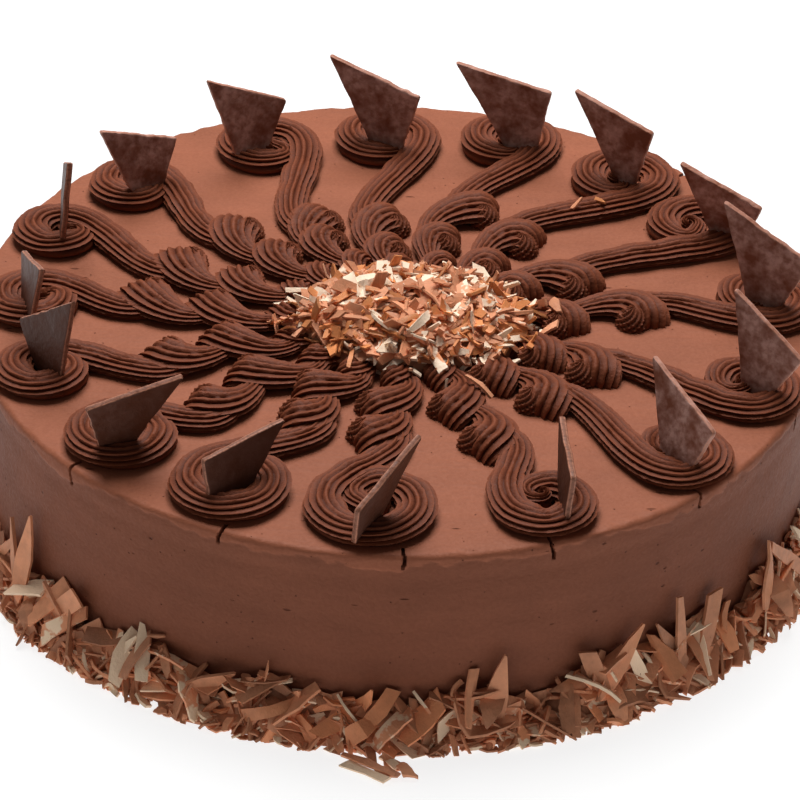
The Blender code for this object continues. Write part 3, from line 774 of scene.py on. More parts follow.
def rope(number, settings, floor):
    """The rope of one portion: an S from the first shell to the curl's right, once round its
    rim, then a second, tighter turn inside that rises to the middle."""
    made = HAND_PIPED[number]
    outward, left = axes(number)
    centre = plan_place(number, made.curl_turn, made.curl_reach * MM)
    loop = made.loop * MM
    start = shell_places(number)[0] + left * 6 * MM - outward * 2 * MM
    entry = centre - left * loop
    swing = start + outward * 14 * MM + left * 7 * MM
    bend = curve(start, swing, entry - outward * 18 * MM, entry, np.linspace(0, 1, 60)[:-1])
    turn = np.radians(np.linspace(0, FIRST_TURN + SECOND_TURN, 300))
    first = 1.5 * MM * smooth(turn, 0, math.radians(FIRST_TURN))
    inner = loop - settings.loop_width * 0.46
    second = (loop - 1.5 * MM - inner * 0.5) * smooth(turn, math.radians(225), math.radians(400))
    last = inner * 0.42 * smooth(turn, math.radians(400), turn[-1])
    reach = (loop - first - second - last)[:, None]
    spin = turn - np.pi / 2
    drawn_in = outward * (-3.2 * MM) * smooth(turn, math.radians(215), math.radians(380))[:, None]
    ring = centre + drawn_in + outward * np.cos(spin)[:, None] * reach + left * np.sin(spin)[:, None] * reach
    plan = even_path(np.concatenate([bend, ring]), 0.75 * MM)
    gone = np.linspace(0, path_length(plan), len(plan))
    bend_length = path_length(bend)
    first_turn = bend_length + loop * math.radians(FIRST_TURN)
    whole = gone[-1]
    wide = settings.rope_width + (settings.loop_width - settings.rope_width) * smooth(gone, 0, bend_length)
    tall = settings.rope_height + (settings.loop_height - settings.rope_height) * smooth(gone, 0, bend_length)
    narrow = smooth(gone, first_turn - 8 * MM, first_turn + 14 * MM)
    wide = wide * (1 - narrow) + inner * 1.15 * narrow
    tip = smooth(gone, first_turn + 0.4 * (whole - first_turn), whole)
    wide = wide * (1 - 0.5 * tip)
    tall = tall * (1 - 0.26 * narrow) + 1.9 * MM * tip
    end = smooth(gone, whole - 2.5 * MM, whole + 0.5 * MM)
    wide = wide * (1 - 0.6 * end)
    tall = tall * (1 - 0.25 * end)
    wobble = 1 + 0.04 * waves(gone[:, None], 14 * MM, number + 40, 6)
    half_height = tall * 0.56
    middle = floor + tall * wobble - half_height
    heading = heading_of(plan)
    path = np.concatenate([plan, middle[:, None]], axis=1)
    twist = -1.15 * smooth(gone, bend_length - 12 * MM, first_turn + 10 * MM)
    return tube(path, heading, wide * wobble / 2, half_height, settings, floor, number * 7, twist, 11)


def shell(number, tail, head, width, height, settings, floor, seed):
    """One shell: a rope that swells from its tail to a plump head, bends clockwise, folds over
    a quarter circle and runs straight down into the icing, so its ridges fan over the front."""
    outward, left = axes(number)
    away = outward * 0.88 - left * 0.47
    span = np.linalg.norm(head - tail)
    crest = head + away * width * 0.03
    first = tail + (outward * 0.8 + left * 0.6) * span * 0.45
    second = crest - away * span * 0.22 + left * span * 0.22
    plan = curve(tail, first, second, crest, np.linspace(0, 1, 40))
    heading = heading_of(plan)
    grown = smooth(np.linspace(0, 1, 40), 0.1, 0.95)
    half_height = height * (0.3 + 0.26 * grown)
    top = height * (0.62 + 0.38 * grown)
    path = np.concatenate([plan, (floor + top - half_height)[:, None]], axis=1)
    bend = width * 0.17
    fold = np.radians(np.linspace(6, 92, 16))
    turned = heading[-1] - np.radians(28) * np.linspace(0, 1, 16)
    step = around(turned) * np.diff(bend * np.sin(fold), prepend=0)[:, None]
    over = plan[-1] + np.cumsum(step, axis=0)
    lowered = path[-1, 2] - bend * (1 - np.cos(fold))
    folded = np.concatenate([over, lowered[:, None]], axis=1)
    foot = folded[-1] - np.linspace(0.5, 4, 6)[:, None] * np.array([0, 0, 1.0 * MM])
    path = np.concatenate([path, folded, foot])
    heading = np.concatenate([heading, turned, np.full(6, turned[-1])])
    wide = width * np.concatenate([0.5 + 0.58 * grown, np.linspace(1.08, 1.02, 16), np.full(6, 1.02)]) / 2
    thinner = half_height[-1] * np.concatenate([np.linspace(1, 0.78, 16), np.full(6, 0.78)])
    thick = np.concatenate([half_height, thinner])
    return tube(path, heading, wide, thick, settings, floor, seed)


def eye(number, head, width, height, settings, floor, seed):
    """The swirl on a shell's rightward side: a low dome whose ridges are spiral arms, which run
    from its middle out and down to the icing and turn a third of a circle on the way."""
    outward, left = axes(number)
    middle = head - left * width * 0.2 - outward * width * 0.16
    arms = 10
    turn = np.linspace(0, 2 * np.pi, arms * 6, endpoint=False)
    down = np.linspace(0, np.pi / 2 + 0.25, 16)[:, None]
    phase = (turn[None] + 2.3 * (1 - np.cos(np.minimum(down, np.pi / 2)))) * arms / (2 * np.pi)
    crest = crest_at(phase)
    radius = 1 - settings.groove * (1 - crest) * np.sin(down) ** 0.5
    reach = width * 0.36 * np.sin(down) * radius
    points = np.stack(
        [
            middle[0] + np.cos(turn)[None] * reach,
            middle[1] + np.sin(turn)[None] * reach,
            floor + height * np.cos(down) * radius,
        ],
        axis=-1,
    )
    points += waves(points, 1.5 * MM, seed)[..., None] * np.array([0.05, 0.05, 0.08]) * MM
    points[0] = points[0].mean(axis=0)
    base = np.broadcast_to(np.append(middle, floor), points[:1].shape)
    points = np.concatenate([points, base])
    points[..., 2] = np.maximum(points[..., 2], floor)
    crest = np.concatenate([crest, crest[-1:]])
    return points[::-1], crest[::-1]


def scroll(number, settings):
    """One portion's rope and its three shells in one mesh."""
    floor = CAKE_TOP - 0.25 * MM
    head_a, head_b, head_c, tail_c = shell_places(number)
    _, left = axes(number)
    parts = [
        rope(number, settings, floor),
        shell(number, head_b + left * 4 * MM, head_a, 17 * MM, 8.2 * MM, settings, floor, number * 7 + 3),
        shell(number, head_c + left * 3 * MM, head_b, 15.5 * MM, 8.2 * MM, settings, floor, number * 7 + 4),
        shell(number, tail_c, head_c, 12 * MM, 7 * MM, settings, floor, number * 7 + 5),
        eye(number, head_a, 17 * MM, 7.6 * MM, settings, floor, number * 7 + 6),
        eye(number, head_b, 15.5 * MM, 7.6 * MM, settings, floor, number * 7 + 7),
    ]
    points = []
    faces = []
    ridges = []
    first = 0
    for made, shown in parts:
        faces.append(grid_faces(*made.shape[:2]) + first)
        points.append(made.reshape(-1, 3))
        ridges.append(shown.reshape(-1))
        first += len(points[-1])
    name = f"piped_scroll_{number:02d}_ridged"
    mesh = mesh_of(name, np.concatenate(points), np.concatenate(faces), {"ridge": np.concatenate(ridges)})
    clean(mesh, MERGE_COARSE)
    return mesh


# The chocolate triangles.


def shard_matrix(number):
    """The turned frame of one triangle, its foot under the icing's top."""
    made = HAND_SET[number]
    foot = (made.foot_x * MM, made.foot_y * MM, CAKE_TOP - made.depth * MM)
    return np.array(
        Matrix.Translation(foot)
        @ Matrix.Rotation(math.radians(made.turn), 4, "Z")
        @ Matrix.Rotation(-math.radians(made.lean), 4, "X")
        @ Matrix.Rotation(math.radians(made.tilt), 4, "Y")
    )


def shard_plate(number, settings):
    """One triangle: its outline with snapped corners, walked at even steps, is drawn in towards
    the middle in rows on both faces and carried across the thickness between them. The edge
    rows are rounded a little and broken by short waves."""
    size = HAND_SET[number].size
    long_leg = settings.long_leg * size
    corners = np.array([[0.0, 0.0], [0.0, long_leg], [-settings.short_leg * size, long_leg]])
    before = unit(np.roll(corners, 1, axis=0) - corners)
    after = unit(np.roll(corners, -1, axis=0) - corners)
    cut = settings.snapped
    outline = np.stack([corners + before * cut, corners + after * cut], axis=1).reshape(-1, 2)
    outline = even_path(np.concatenate([outline, outline[:1]]), 0.8 * MM)[:-1]
    middle = corners.mean(axis=0)
    rays = outline - middle
    distance = np.linalg.norm(rays, axis=1)[:, None]
    half = settings.thickness / 2
    inset = np.array([1.0, 0.9, 0.75, 0.5, 0.25, 0.1]) * distance.max() * 0.98
    rounded = np.array([1.2, 0.45, 0.12, 0]) * MM
    insets = np.concatenate([inset, rounded, rounded[::-1], inset[::-1]])
    depth = np.concatenate([np.full(7, -half), [-half + 0.05 * MM, -half * 0.7, -half * 0.3]])
    depth = np.concatenate([depth, -depth[::-1]])
    kept = np.maximum(distance[None] - insets[:, None, None], 0) / distance[None]
    kept[0] = 0
    kept[-1] = 0
    flat = middle + rays[None] * kept
    points = np.zeros((len(insets), len(outline), 3))
    points[..., 0] = flat[..., 0]
    points[..., 1] = depth[:, None]
    points[..., 2] = flat[..., 1]
    near_edge = smooth(-insets, -1.5 * MM, -0.1 * MM)[:, None]
    chipped = np.abs(waves(points[..., ::2], 9 * MM, number + 60)) * 0.3 * MM
    chipped += waves(points, 2.2 * MM, number + 61) * 0.1 * MM
    pull = (middle - flat) / np.maximum(np.linalg.norm(middle - flat, axis=-1), 1e-6)[..., None]
    points[..., ::2] += pull * (np.maximum(chipped, 0) * near_edge)[..., None]
    points[..., 1] += waves(points, 14 * MM, number + 62) * 0.12 * MM
    matrix = shard_matrix(number)
    points = points @ matrix[:3, :3].T + matrix[:3, 3]
    # The edge mask is 1 at the arrises, for a painted highlight, and lower across the middle of the edge.
    edge = smooth(-insets, -0.3 * MM, -0.1 * MM) - 0.62 * (insets == 0)
    edge = np.broadcast_to(edge[:, None], points.shape[:2])
    # Painted light: the triangles at the back are marked for the lit face colour and for their bloom.
    bloom_and_painted_light = np.full(points.shape[:2], 1.0 if number in BLOOMED_AND_PAINTED_LIGHT else 0.05)
    name = f"chocolate_shard_{number:02d}_plate"
    mesh = mesh_of(name, points, grid_faces(*points.shape[:2]), {"edge": edge, "bloom_and_painted_light": bloom_and_painted_light})
    shape = bmesh.new()
    shape.from_mesh(mesh)
    bmesh.ops.remove_doubles(shape, verts=shape.verts, dist=MERGE_COARSE)
    everything = shape.verts[:] + shape.edges[:] + shape.faces[:]
    floor = (0, 0, CAKE_TOP + settings.clearance)
    bmesh.ops.bisect_plane(
        shape, geom=everything, dist=1e-7, plane_co=floor, plane_no=(0, 0, -1), clear_outer=True
    )
    bmesh.ops.contextual_create(shape, geom=[each for each in shape.edges if each.is_boundary])
    bmesh.ops.recalc_face_normals(shape, faces=shape.faces)
    shape.to_mesh(mesh)
    shape.free()
    return mesh


# The shavings.

FLAKE_ROWS = 5
FLAKE_COLUMNS = 3
HEAP_CENTRE = np.array([5, -13]) * MM
HEAP_SIZE = np.array([42, 30]) * MM
HEAP_THROW = np.array([38, 27]) * MM
ORANGE_SHARE = 0.3
RING_EDGE = CAKE_RADIUS + 13.5 * MM
RING_MILK_BELOW = 0.82
RING_CREAM_FROM = 0.89
FLOOR_GAP = 0.05 * MM


def flake_faces():
    """The cells of one shaving: an upper and a lower sheet of points, and a rim round them."""
    sheet = FLAKE_ROWS * FLAKE_COLUMNS
    upper = grid_faces(FLAKE_ROWS, FLAKE_COLUMNS, closed_columns=False)
    lower = upper[:, ::-1] + sheet
    top = np.arange(sheet).reshape(FLAKE_ROWS, FLAKE_COLUMNS)
    round_it = np.concatenate([top[0, :], top[1:, -1], top[-1, -2::-1], top[-2:0:-1, 0]])
    after = np.roll(round_it, -1)
    rim = np.stack([after, round_it, round_it + sheet, after + sheet], axis=-1)
    return np.concatenate([upper, lower, rim])


def flake_shapes(draw, lengths, widths, thickness, pointed):
    """Shavings about their own middles, one row of the result each: a chip whose two long edges
    run straight between three random half widths, cut off slantwise at both ends, then curled
    along its length, hollowed across it and twisted, with a lower sheet one thickness under
    it. Pointed ones are splinters, blunt at one end and sharp at the other. Few curl strongly."""
    number = len(lengths)
    station = np.linspace(-0.5, 0.5, FLAKE_ROWS)
    across = np.linspace(-1, 1, FLAKE_COLUMNS)
    knots = draw.uniform([0.15, 0.6, 0.15], [1.0, 1.0, 1.0], (number, 2, 3))
    early = np.clip(1 - 2 * (station + 0.5), 0, 1)
    late = np.clip(2 * station, 0, 1)
    half = knots[..., :1] * early + knots[..., 2:] * late + knots[..., 1:2] * (1 - early - late)
    half *= draw.uniform(0.88, 1.0, half.shape)
    sliver = np.maximum(np.cos((station + 0.15) * np.pi * 0.78), 0.1)
    half = np.where(pointed[:, None, None], sliver * (0.8 + 0.2 * half), half).transpose(0, 2, 1)
    y = np.where(across < 0, half[..., :1], half[..., 1:]) * across * widths[:, None, None] / 2
    slant = draw.uniform(-0.7, 0.7, (number, 2, 1))
    slanted = np.where(station < 0, slant[:, 0] * early, slant[:, 1] * late)
    x = station[:, None] * lengths[:, None, None] + slanted[..., None] * y
    strong = draw.uniform(0, 1, (number, 1, 1)) < 0.26
    curl = draw.normal(0, 1, (number, 1, 1)) * np.where(strong, 0.9, 0.16) / lengths[:, None, None]
    hollow = draw.normal(0, 1, (number, 1, 1)) * np.where(strong, 0.7, 0.15) / widths[:, None, None]
    twist = draw.normal(0, 0.3, (number, 1, 1)) / lengths[:, None, None]
    z = curl * x**2 + hollow * y**2 + twist * x * y
    upper = np.stack([x, y, z], axis=-1).reshape(number, -1, 3)
    lower = upper - np.array([0, 0, 1.0]) * thickness[:, None, None]
    points = np.concatenate([upper, lower], axis=1)
    return points - points.mean(axis=1, keepdims=True)


def turned(points, along, normal):
    """Shavings with their length and their face's normal in given directions, one of each."""
    along = unit(along)
    side = unit(np.cross(normal, along))
    return points @ np.stack([along, side, np.cross(along, side)], axis=1)


def raised(points, level):
    """Shavings moved up, each until none of it is under a level."""
    points[..., 2] += np.maximum(level - points[..., 2].min(axis=1), 0)[:, None]
    return points


def flakes_mesh(name, points, draw):
    """One mesh of many shavings, with a tint for each."""
    number, size = points.shape[:2]
    template = flake_faces()
    faces = (template[None] + np.arange(number)[:, None, None] * size).reshape(-1, 4)
    tint = np.repeat(draw.uniform(0, 1, number), size)
    return mesh_of(name, points, faces, {"tint": tint})


def show_kinds(group, kinds, points, draw):
    """One piece for each kind of shaving in a group, from a kind's name, choice and finish."""
    for kind, chosen, finish in kinds:
        name = f"{group}_{kind}"
        show(name, flakes_mesh(name, points[chosen], draw), finish, 35)


def core_mesh(name, points, faces):
    """The closed core under a group's shavings, in the darkest tint, as painted shade in the gaps between
    them.
    """
    mesh = mesh_of(name, points, faces)
    # Painted shade: a tint of zero gives the core the darkest colour.
    mesh.attributes.new("tint", "FLOAT", "POINT")
    clean(mesh, MERGE_FINE)
    return mesh


def heap_height(places):
    """The heap's height over the icing at plan places: a low dome over an ellipse, steeper at
    its edge, with soft bumps."""
    spread = np.linalg.norm((places - HEAP_CENTRE) / HEAP_SIZE, axis=-1)
    dome = 15.0 * MM * np.clip(1 - spread**2.4, 0, 1) ** 0.6
    bumps = waves(places, 11 * MM, 71) * 1.4 * MM * np.clip(1.1 - spread, 0, 1)
    return dome + bumps


def thrown(angle, spread):
    """Plan places round the heap's middle, at a spread that is 1 near the heap's edge."""
    return HEAP_CENTRE + around(angle) * HEAP_THROW * spread[:, None]


def heap_core():
    """The heap's own core: rings of points under the dome, a little lower than its shavings."""
    part = np.linspace(0, 0.9, 16)
    angle = np.linspace(0, 2 * np.pi, 72, endpoint=False)
    places = HEAP_CENTRE + part[:, None, None] * around(angle) * HEAP_SIZE
    level = CAKE_TOP + np.maximum(heap_height(places) - 2.2 * MM, 0.2 * MM)
    points = np.concatenate([places, level[..., None]], axis=-1)
    under = points[-1:] * np.array([1, 1, 0]) + np.array([0, 0, CAKE_TOP])
    middle = np.repeat(np.array([[[*HEAP_CENTRE, CAKE_TOP]]]), len(angle), axis=1)
    points = np.concatenate([points, under, middle])
    return core_mesh("top_heap_core", points, grid_faces(*points.shape[:2])[:, ::-1])


def heap_flakes(settings, draw):
    """The heap's shavings: places at random over the ellipse, denser in the middle, each face
    turned from the dome's slope by a random tilt, and raised until it lies on the dome."""
    number = settings.heap_flakes
    angle = draw.uniform(0, 2 * np.pi, number)
    places = thrown(angle, np.sqrt(draw.uniform(0, 1, number)) ** 0.85)
    step = 1.5 * MM
    height = heap_height(places)
    slope_x = (heap_height(places + np.array([step, 0])) - height) / step
    slope_y = (heap_height(places + np.array([0, step])) - height) / step
    normal = np.stack([-slope_x, -slope_y, np.ones(number)], axis=-1)
    normal += draw.normal(0, 0.55, normal.shape) * np.array([1, 1, 0.3])
    along = draw.normal(0, 1, (number, 3)) * np.array([1, 1, 0.35])
    big = draw.uniform(0, 1, number) < 0.34
    lengths = np.where(big, draw.uniform(9, 18, number), draw.uniform(3.5, 10, number)) * MM
    widths = np.where(big, draw.uniform(2.8, 6.5, number), draw.uniform(0.9, 3.0, number)) * MM
    cream = draw.uniform(0, 1, number) < 0.2
    points = flake_shapes(draw, lengths, widths, draw.uniform(0.5, 1.1, number) * MM, cream & big)
    points = turned(points, along, normal)
    level = CAKE_TOP + height + draw.uniform(-1.2, 1.2, number) * MM
    points += np.concatenate([places, level[:, None]], axis=1)[:, None, :]
    return raised(points, CAKE_TOP + 0.1 * MM), cream


def cake_trees():
    """A search tree for each finished piece that a stray shaving can lie on."""
    trees = []
    for piece in bpy.context.scene.objects:
        if piece.name == "iced_cake_skin" or piece.name.endswith("_ridged"):
            corners = [vertex.co.copy() for vertex in piece.data.vertices]
            faces = [tuple(face.vertices) for face in piece.data.polygons]
            trees.append(BVHTree.FromPolygons(corners, faces))
    return trees


def stray_flakes(settings, draw):
    """Shavings fallen round the heap and the few that lie farther off: each is dropped from
    above on the piping or the icing, and takes the slope of what it meets."""
    number = settings.stray_flakes
    near = thrown(draw.uniform(0, 2 * np.pi, number), draw.uniform(0.95, 1.2, number))
    far = np.array([(place.x, place.y) for place in HAND_STRAYS]) * MM
    places = np.concatenate([near, far])
    lengths = np.concatenate([draw.uniform(3, 9, number), [place.length for place in HAND_STRAYS]]) * MM
    widths = lengths * draw.uniform(0.25, 0.5, len(lengths))
    cream = np.concatenate([draw.uniform(0, 1, number) < 0.2, [place.cream for place in HAND_STRAYS]])
    trees = cake_trees()
    met = []
    for x, y in places:
        hits = [tree.ray_cast((x, y, CAKE_TOP + 0.1), (0, 0, -1)) for tree in trees]
        highest = max((hit for hit in hits if hit[0]), key=lambda hit: hit[0].z)
        met.append([*highest[0], *highest[1]])
    met = np.array(met)
    points = flake_shapes(draw, lengths, widths, draw.uniform(0.5, 0.9, len(lengths)) * MM, lengths < 0)
    normal = met[:, 3:] + np.array([0, 0, 0.8]) + draw.normal(0, 0.12, (len(met), 3))
    points = turned(points, draw.normal(0, 1, (len(met), 3)), normal)
    points += (met[:, :3] + np.array([0, 0, 0.9 * MM]))[:, None, :]
    return points, cream


def round_cake(angle):
    """The level directions out of the cake and leftwards along its side at each angle."""
    out = np.stack([np.cos(angle), np.sin(angle), np.zeros(len(angle))], axis=-1)
    return out, np.cross(UP, out)


def bank_top(angle):
    """The height of the ring's bank against the side at each angle."""
    ring = around(angle) * CAKE_RADIUS
    return (15.0 + 4.6 * waves(ring, 38 * MM, 81) + 2.4 * waves(ring, 12 * MM, 82)) * MM


def ring_core():
    """The ring's own core: a bank that falls from the side to the floor, carried round."""
    angle = np.linspace(0, 2 * np.pi, 360, endpoint=False)
    top = bank_top(angle) - 2.0 * MM
    foot = CAKE_RADIUS + 8.5 * MM + 0.8 * MM * waves(around(angle), 0.12, 83)
    inner = np.full(360, CAKE_RADIUS - 0.8 * MM)
    radius = np.stack([inner, foot, foot - 0.6 * MM, (foot + inner) / 2, inner + 2.7 * MM, inner])
    height = np.stack([top * 0, top * 0, top * 0.2, top * 0.66, top, top])
    points = np.stack([radius * np.cos(angle), radius * np.sin(angle), height], axis=-1)
    points = np.concatenate([points, points[:1]])
    return core_mesh("foot_ring_core", points, grid_faces(*points.shape[:2]))


def settle_ring(points):
    """Moves each shaving of the ring out of the side, back from the ring's edge, and up to the
    floor."""
    away = unit(points[..., :2].mean(axis=1))
    radial = (points[..., :2] * away[:, None, :]).sum(axis=-1)
    low = radial.min(axis=1)
    high = radial.max(axis=1)
    shift = np.maximum(CAKE_RADIUS + 0.5 * MM - low, 0)
    shift -= np.maximum(high + shift - RING_EDGE, 0)
    shift = np.maximum(shift, CAKE_RADIUS - 1.0 * MM - low)
    points[..., :2] += (away * shift[:, None])[:, None, :]
    return raised(points, FLOOR_GAP)


def bank_flakes(settings, draw):
    """The ring's common shavings: places at random on the bank's slope, each face turned from
    the slope's normal by a random tilt, more of them small than large."""
    number = settings.ring_flakes
    angle = draw.uniform(0, 2 * np.pi, number)
    crumb = draw.uniform(0, 1, number) < 0.3
    climb = np.where(crumb, draw.uniform(-0.35, 0.12, number), draw.uniform(0.05, 1.08, number))
    top = bank_top(angle)
    out, tangent = round_cake(angle)
    radius = CAKE_RADIUS + (9.5 - 7.5 * climb) * MM
    place = out * radius[:, None] + UP * np.maximum(climb * top, 0.8 * MM)[:, None]
    normal = out * 0.35 + UP * 0.85 + draw.normal(0, 0.62, (number, 3))
    normal = np.where(crumb[:, None], UP + draw.normal(0, 0.3, (number, 3)), normal)
    lean = draw.normal(0, 0.6, (number, 1))
    along = tangent * draw.normal(0, 1.0, (number, 1)) + (UP * 0.7 - out * 0.6) * lean
    big = (draw.uniform(0, 1, number) < 0.42) & ~crumb
    lengths = np.where(big, draw.uniform(10, 21, number), draw.uniform(3.5, 11, number)) * MM
    widths = np.where(big, draw.uniform(4, 9, number), draw.uniform(1.4, 5, number)) * MM
    lengths = np.where(crumb, lengths * 0.7, lengths)
    thickness = draw.uniform(0.5, 1.2, number) * MM
    points = flake_shapes(draw, lengths, widths, thickness, draw.uniform(0, 1, number) < 0.1)
    return settle_ring(turned(points, along, normal) + place[:, None, :])


def tall_flakes(settings, draw):
    """The ring's long shavings: feet in the bank, leaning on the cake's side."""
    number = settings.tall_flakes
    angle = draw.uniform(0, 2 * np.pi, number)
    out, tangent = round_cake(angle)
    lengths = draw.uniform(18, 34, number) * MM
    along = UP - out * 0.16 + tangent * draw.normal(0, 0.6, (number, 1))
    normal = out + tangent * draw.normal(0, 0.35, (number, 1))
    widths = draw.uniform(4, 9, number) * MM
    thickness = draw.uniform(0.8, 1.3, number) * MM
    points = flake_shapes(draw, lengths, widths, thickness, draw.uniform(0, 1, number) < 0.6)
    points = turned(points, along, normal)
    points += (out * (CAKE_RADIUS + 5.5 * MM))[:, None, :]
    foot = draw.uniform(1, 9, number) * MM
    points[..., 2] += (foot - points[..., 2].min(axis=1))[:, None]
    return settle_ring(points)


def fallen_flakes():
    """The few shavings that lie before the ring at the front, each nearly level at its own
    place and turn, raised until none of it is under the floor."""
    draw = np.random.default_rng(31)
    middles = np.array([(place.x, place.y, place.height) for place in HAND_FALLEN]) * MM
    turn = np.radians([place.turn for place in HAND_FALLEN])
    lengths = np.array([place.length for place in HAND_FALLEN]) * MM
    widths = np.array([place.width for place in HAND_FALLEN]) * MM
    number = len(HAND_FALLEN)
    along = np.stack([np.cos(turn), np.sin(turn), draw.normal(0, 0.05, number)], axis=-1)
    normal = np.array([0, -0.25, 1.0]) + draw.normal(0, 0.15, (number, 3))
    points = flake_shapes(draw, lengths, widths, np.full(number, 0.9 * MM), lengths < 0)
    points = turned(points, along, normal) + middles[:, None, :]
    return raised(points, FLOOR_GAP), np.array([place.cream for place in HAND_FALLEN])


# Operators, one for each group of like pieces and one for the stage.


class CAKE_OT_icing(bpy.types.Operator):
    """Spread the smoothed buttercream over the cake"""

    bl_idname = "cake.icing"
    bl_label = "Icing"

    def execute(self, context):
        settings = context.scene.cake_icing
        mesh = icing_skin(settings)
        clean(mesh, MERGE_FINE)
        piece = show("iced_cake_skin", mesh, icing_finish(settings), 50)
        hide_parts("iced_cake")
        return {"FINISHED"}


class CAKE_OT_piping(bpy.types.Operator):
    """Pipe a rope, a curl and three shells on every portion"""

    bl_idname = "cake.piping"
    bl_label = "Piping"

    def execute(self, context):
        settings = context.scene.cake_piping
        finish = piping_finish(settings)
        for number in HAND_PIPED:
            mesh = scroll(number, settings)
            piece = show(f"piped_scroll_{number:02d}_ridged", mesh, finish, 75)
            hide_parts(f"piped_scroll_{number:02d}")
        return {"FINISHED"}


class CAKE_OT_triangles(bpy.types.Operator):
    """Stand a chocolate triangle in every curl"""

    bl_idname = "cake.triangles"
    bl_label = "Chocolate triangles"

    def execute(self, context):
        settings = context.scene.cake_chocolate
        finish = chocolate_finish(settings)
        for number in HAND_SET:
            mesh = shard_plate(number, settings)
            piece = show(f"chocolate_shard_{number:02d}_plate", mesh, finish, 40)
            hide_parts(f"chocolate_shard_{number:02d}")
        return {"FINISHED"}


class CAKE_OT_top_heap(bpy.types.Operator):
    """Heap shavings in the middle of the top"""

    bl_idname = "cake.top_heap"
    bl_label = "Heap of shavings"

    def execute(self, context):
        settings = context.scene.cake_shavings
        draw = np.random.default_rng(28)
        pale_colour = settings.cream_colour
        milk = shaving_finish("milk_shavings", settings.milk_colour, pale_colour, 0.42, 0.46)
        amber = shaving_finish("amber_shavings", settings.amber_colour, pale_colour, 0.36, 0.46)
        cream = shaving_finish("cream_shavings", pale_colour, pale_colour, 0.42, 0.8)
        core = show("top_heap_core", heap_core(), milk, 60)
        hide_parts("top_shavings")
        heaped, heaped_pale = heap_flakes(settings, draw)
        fallen, fallen_pale = stray_flakes(settings, draw)
        points = np.concatenate([heaped, fallen])
        pale = np.concatenate([heaped_pale, fallen_pale])
        orange = (draw.uniform(0, 1, len(points)) < ORANGE_SHARE) & ~pale
        kinds = (("milk", ~pale & ~orange, milk), ("amber", orange, amber), ("cream", pale, cream))
        show_kinds("top_heap", kinds, points, draw)
        return {"FINISHED"}


class CAKE_OT_foot_ring(bpy.types.Operator):
    """Bank shavings round the foot of the cake"""

    bl_idname = "cake.foot_ring"
    bl_label = "Ring of shavings"

    def execute(self, context):
        settings = context.scene.cake_shavings
        draw = np.random.default_rng(29)
        # Painted light: the ring's shavings take the lighter and warmer copies of the shaving colours.
        pale_colour = settings.ring_cream_painted_light_colour
        milk = shaving_finish("ring_milk_shavings_painted_light", settings.ring_milk_painted_light_colour, pale_colour, 0.42, 0.32)
        amber = shaving_finish("ring_amber_shavings_painted_light", settings.ring_amber_painted_light_colour, pale_colour, 0.4, 0.5)
        cream = shaving_finish("ring_cream_shavings_painted_light", pale_colour, pale_colour, 0.42, 0.9)
        core = show("foot_ring_core", ring_core(), milk, 60)
        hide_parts("base_shavings")
        banked = np.concatenate([bank_flakes(settings, draw), tall_flakes(settings, draw)])
        fallen, fallen_pale = fallen_flakes()
        points = np.concatenate([banked, fallen])
        dice = np.concatenate([draw.uniform(0, 1, len(banked)), fallen_pale * 1.0])
        brown = dice < RING_MILK_BELOW
        pale = dice >= RING_CREAM_FROM
        kinds = (("milk", brown, milk), ("amber", ~brown & ~pale, amber), ("cream", pale, cream))
        show_kinds("foot_ring", kinds, points, draw)
        return {"FINISHED"}


class CAKE_OT_stage(bpy.types.Operator):
    """Lay the pale floor, hang the soft lights and set the camera"""

    bl_idname = "cake.stage"
    bl_label = "Stage"

    def execute(self, context):
        settings = context.scene.cake_stage
        span = 30.0
        corners = np.array([[-span, -span, 0], [span, -span, 0], [span, span, 0], [-span, span, 0]])
        mesh = mesh_of("floor", corners, np.array([[0, 1, 2, 3]]))
        finish, _, shader = new_finish("pale_floor")
        shader.inputs["Base Color"].default_value = opaque(settings.floor_colour)
        shader.inputs["Emission Color"].default_value = opaque(WHITE)
        shader.inputs["Emission Strength"].default_value = settings.floor_glow
        shader.inputs["Roughness"].default_value = 0.9
        mesh.materials.append(finish)
        floor = bpy.data.objects.new("floor", mesh)
        context.scene.collection.objects.link(floor)
        area_light("key", (-0.05, 0.5, 1.15), (0, 0, 0), 0.8, settings.key_power)
        area_light("rim_left", (-1.3, 0.5, 0.45), (0, 0, 0.03), 0.7, settings.rim_power)
        right_power = settings.rim_power * settings.right_share
        area_light("rim_right", (1.3, 0.6, 0.45), (0, 0, 0.03), 0.7, right_power)
        area_light("fill", (-0.9, -1.3, 0.7), (0, 0, 0.03), 0.9, settings.fill_power)
        world = bpy.data.worlds.new("studio")
        world.use_nodes = True
        background = world.node_tree.nodes["Background"].inputs
        background["Color"].default_value = opaque(WHITE)
        background["Strength"].default_value = settings.world_light
        context.scene.world = world
        context.scene.view_settings.view_transform = "Standard"
        set_camera(context.scene)
        return {"FINISHED"}


def area_light(name, place, target, size, watts):
    """A square soft light at a place, turned to a target."""
    data = bpy.data.lights.new(name, "AREA")
    data.shape = "SQUARE"
    data.size = size
    data.energy = watts
    light = bpy.data.objects.new(name, data)
    place = np.array(place, float)
    light.matrix_world = look_matrix(place, unit(place - np.array(target, float)), 0.0)
    bpy.context.scene.collection.objects.link(light)


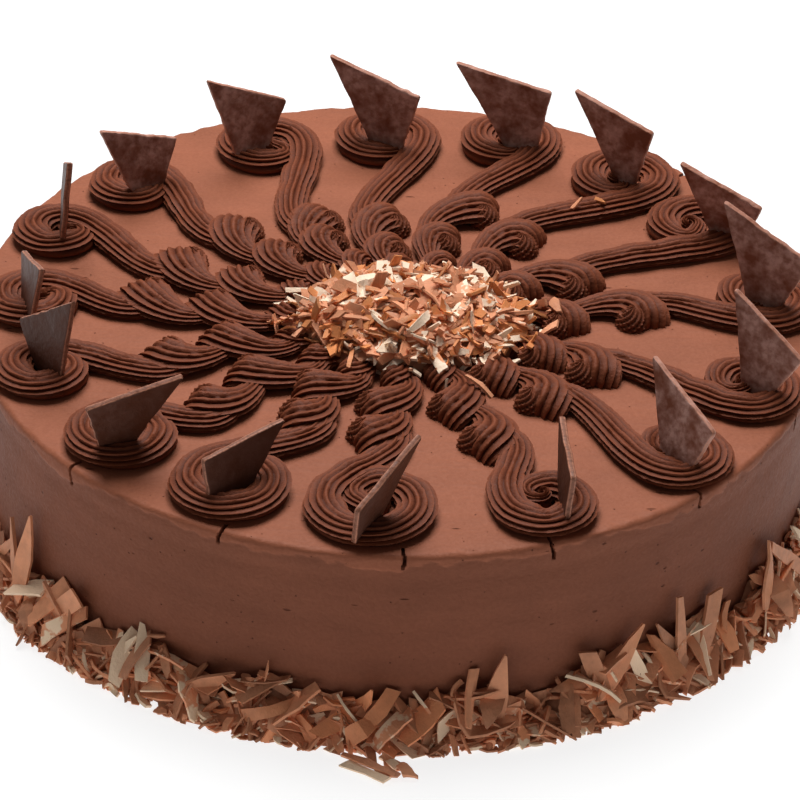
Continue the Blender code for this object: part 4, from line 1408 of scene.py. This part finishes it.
def look_matrix(place, back, roll):
    """The matrix of a camera or light at a place: its back axis points away from what it looks
    at, its right axis lies level and is then turned by the roll."""
    level = np.array([0.0, 0.0, 1.0]) if abs(back[2]) < 0.999 else np.array([0.0, 1.0, 0.0])
    right = unit(np.cross(level, back))
    up = np.cross(back, right)
    rolled_right = right * math.cos(roll) + up * math.sin(roll)
    rolled_up = -right * math.sin(roll) + up * math.cos(roll)
    matrix = np.eye(4)
    matrix[:3, 0] = rolled_right
    matrix[:3, 1] = rolled_up
    matrix[:3, 2] = back
    matrix[:3, 3] = place
    return Matrix(matrix.tolist())


def set_camera(scene):
    """The photograph's view: from the front and a third of a right angle above the level."""
    elevation = math.radians(33.432)
    roll = math.radians(1.774)
    back = np.array([0, -math.cos(elevation), math.sin(elevation)])
    look = np.array([1.68 * MM, 0, 32.58 * MM])
    data = bpy.data.cameras.new("camera")
    data.lens = 180
    data.sensor_width = 36
    camera = bpy.data.objects.new("camera", data)
    camera.matrix_world = look_matrix(look + back * 1.35296, back, roll)
    scene.collection.objects.link(camera)
    scene.camera = camera


class CAKE_PT_panel(bpy.types.Panel):
    """The cake's pieces and their settings"""

    bl_label = "Layer cake"
    bl_idname = "CAKE_PT_panel"
    bl_space_type = "VIEW_3D"
    bl_region_type = "UI"
    bl_category = "Cake"

    def draw(self, context):
        for group, operators in PANEL_ROWS:
            box = self.layout.box()
            settings = getattr(context.scene, group)
            for key in settings.bl_rna.properties.keys():
                if key not in ("rna_type", "name"):
                    box.prop(settings, key)
            for operator in operators:
                box.operator(operator)


PANEL_ROWS = (
    ("cake_icing", ("cake.icing",)),
    ("cake_piping", ("cake.piping",)),
    ("cake_chocolate", ("cake.triangles",)),
    ("cake_shavings", ("cake.top_heap", "cake.foot_ring")),
    ("cake_stage", ("cake.stage",)),
)

GROUPS = {
    "cake_icing": IcingSettings,
    "cake_piping": PipingSettings,
    "cake_chocolate": ChocolateSettings,
    "cake_shavings": ShavingSettings,
    "cake_stage": StageSettings,
}

CLASSES = (
    IcingSettings,
    PipingSettings,
    ChocolateSettings,
    ShavingSettings,
    StageSettings,
    CAKE_OT_icing,
    CAKE_OT_piping,
    CAKE_OT_triangles,
    CAKE_OT_top_heap,
    CAKE_OT_foot_ring,
    CAKE_OT_stage,
    CAKE_PT_panel,
)


def register():
    """Registers the classes and puts the settings on the scene."""
    for item in CLASSES:
        bpy.utils.register_class(item)
    for name, group in GROUPS.items():
        setattr(bpy.types.Scene, name, bpy.props.PointerProperty(type=group))


def unregister():
    """Takes the settings off the scene and the classes out again."""
    for name in GROUPS:
        delattr(bpy.types.Scene, name)
    for item in reversed(CLASSES):
        bpy.utils.unregister_class(item)


def main():
    """Builds every piece in order."""
    register()
    bpy.ops.cake.icing()
    bpy.ops.cake.piping()
    bpy.ops.cake.triangles()
    bpy.ops.cake.top_heap()
    bpy.ops.cake.foot_ring()
    bpy.ops.cake.stage()
    bpy.context.view_layer.update()


if __name__ == "__main__":
    main()
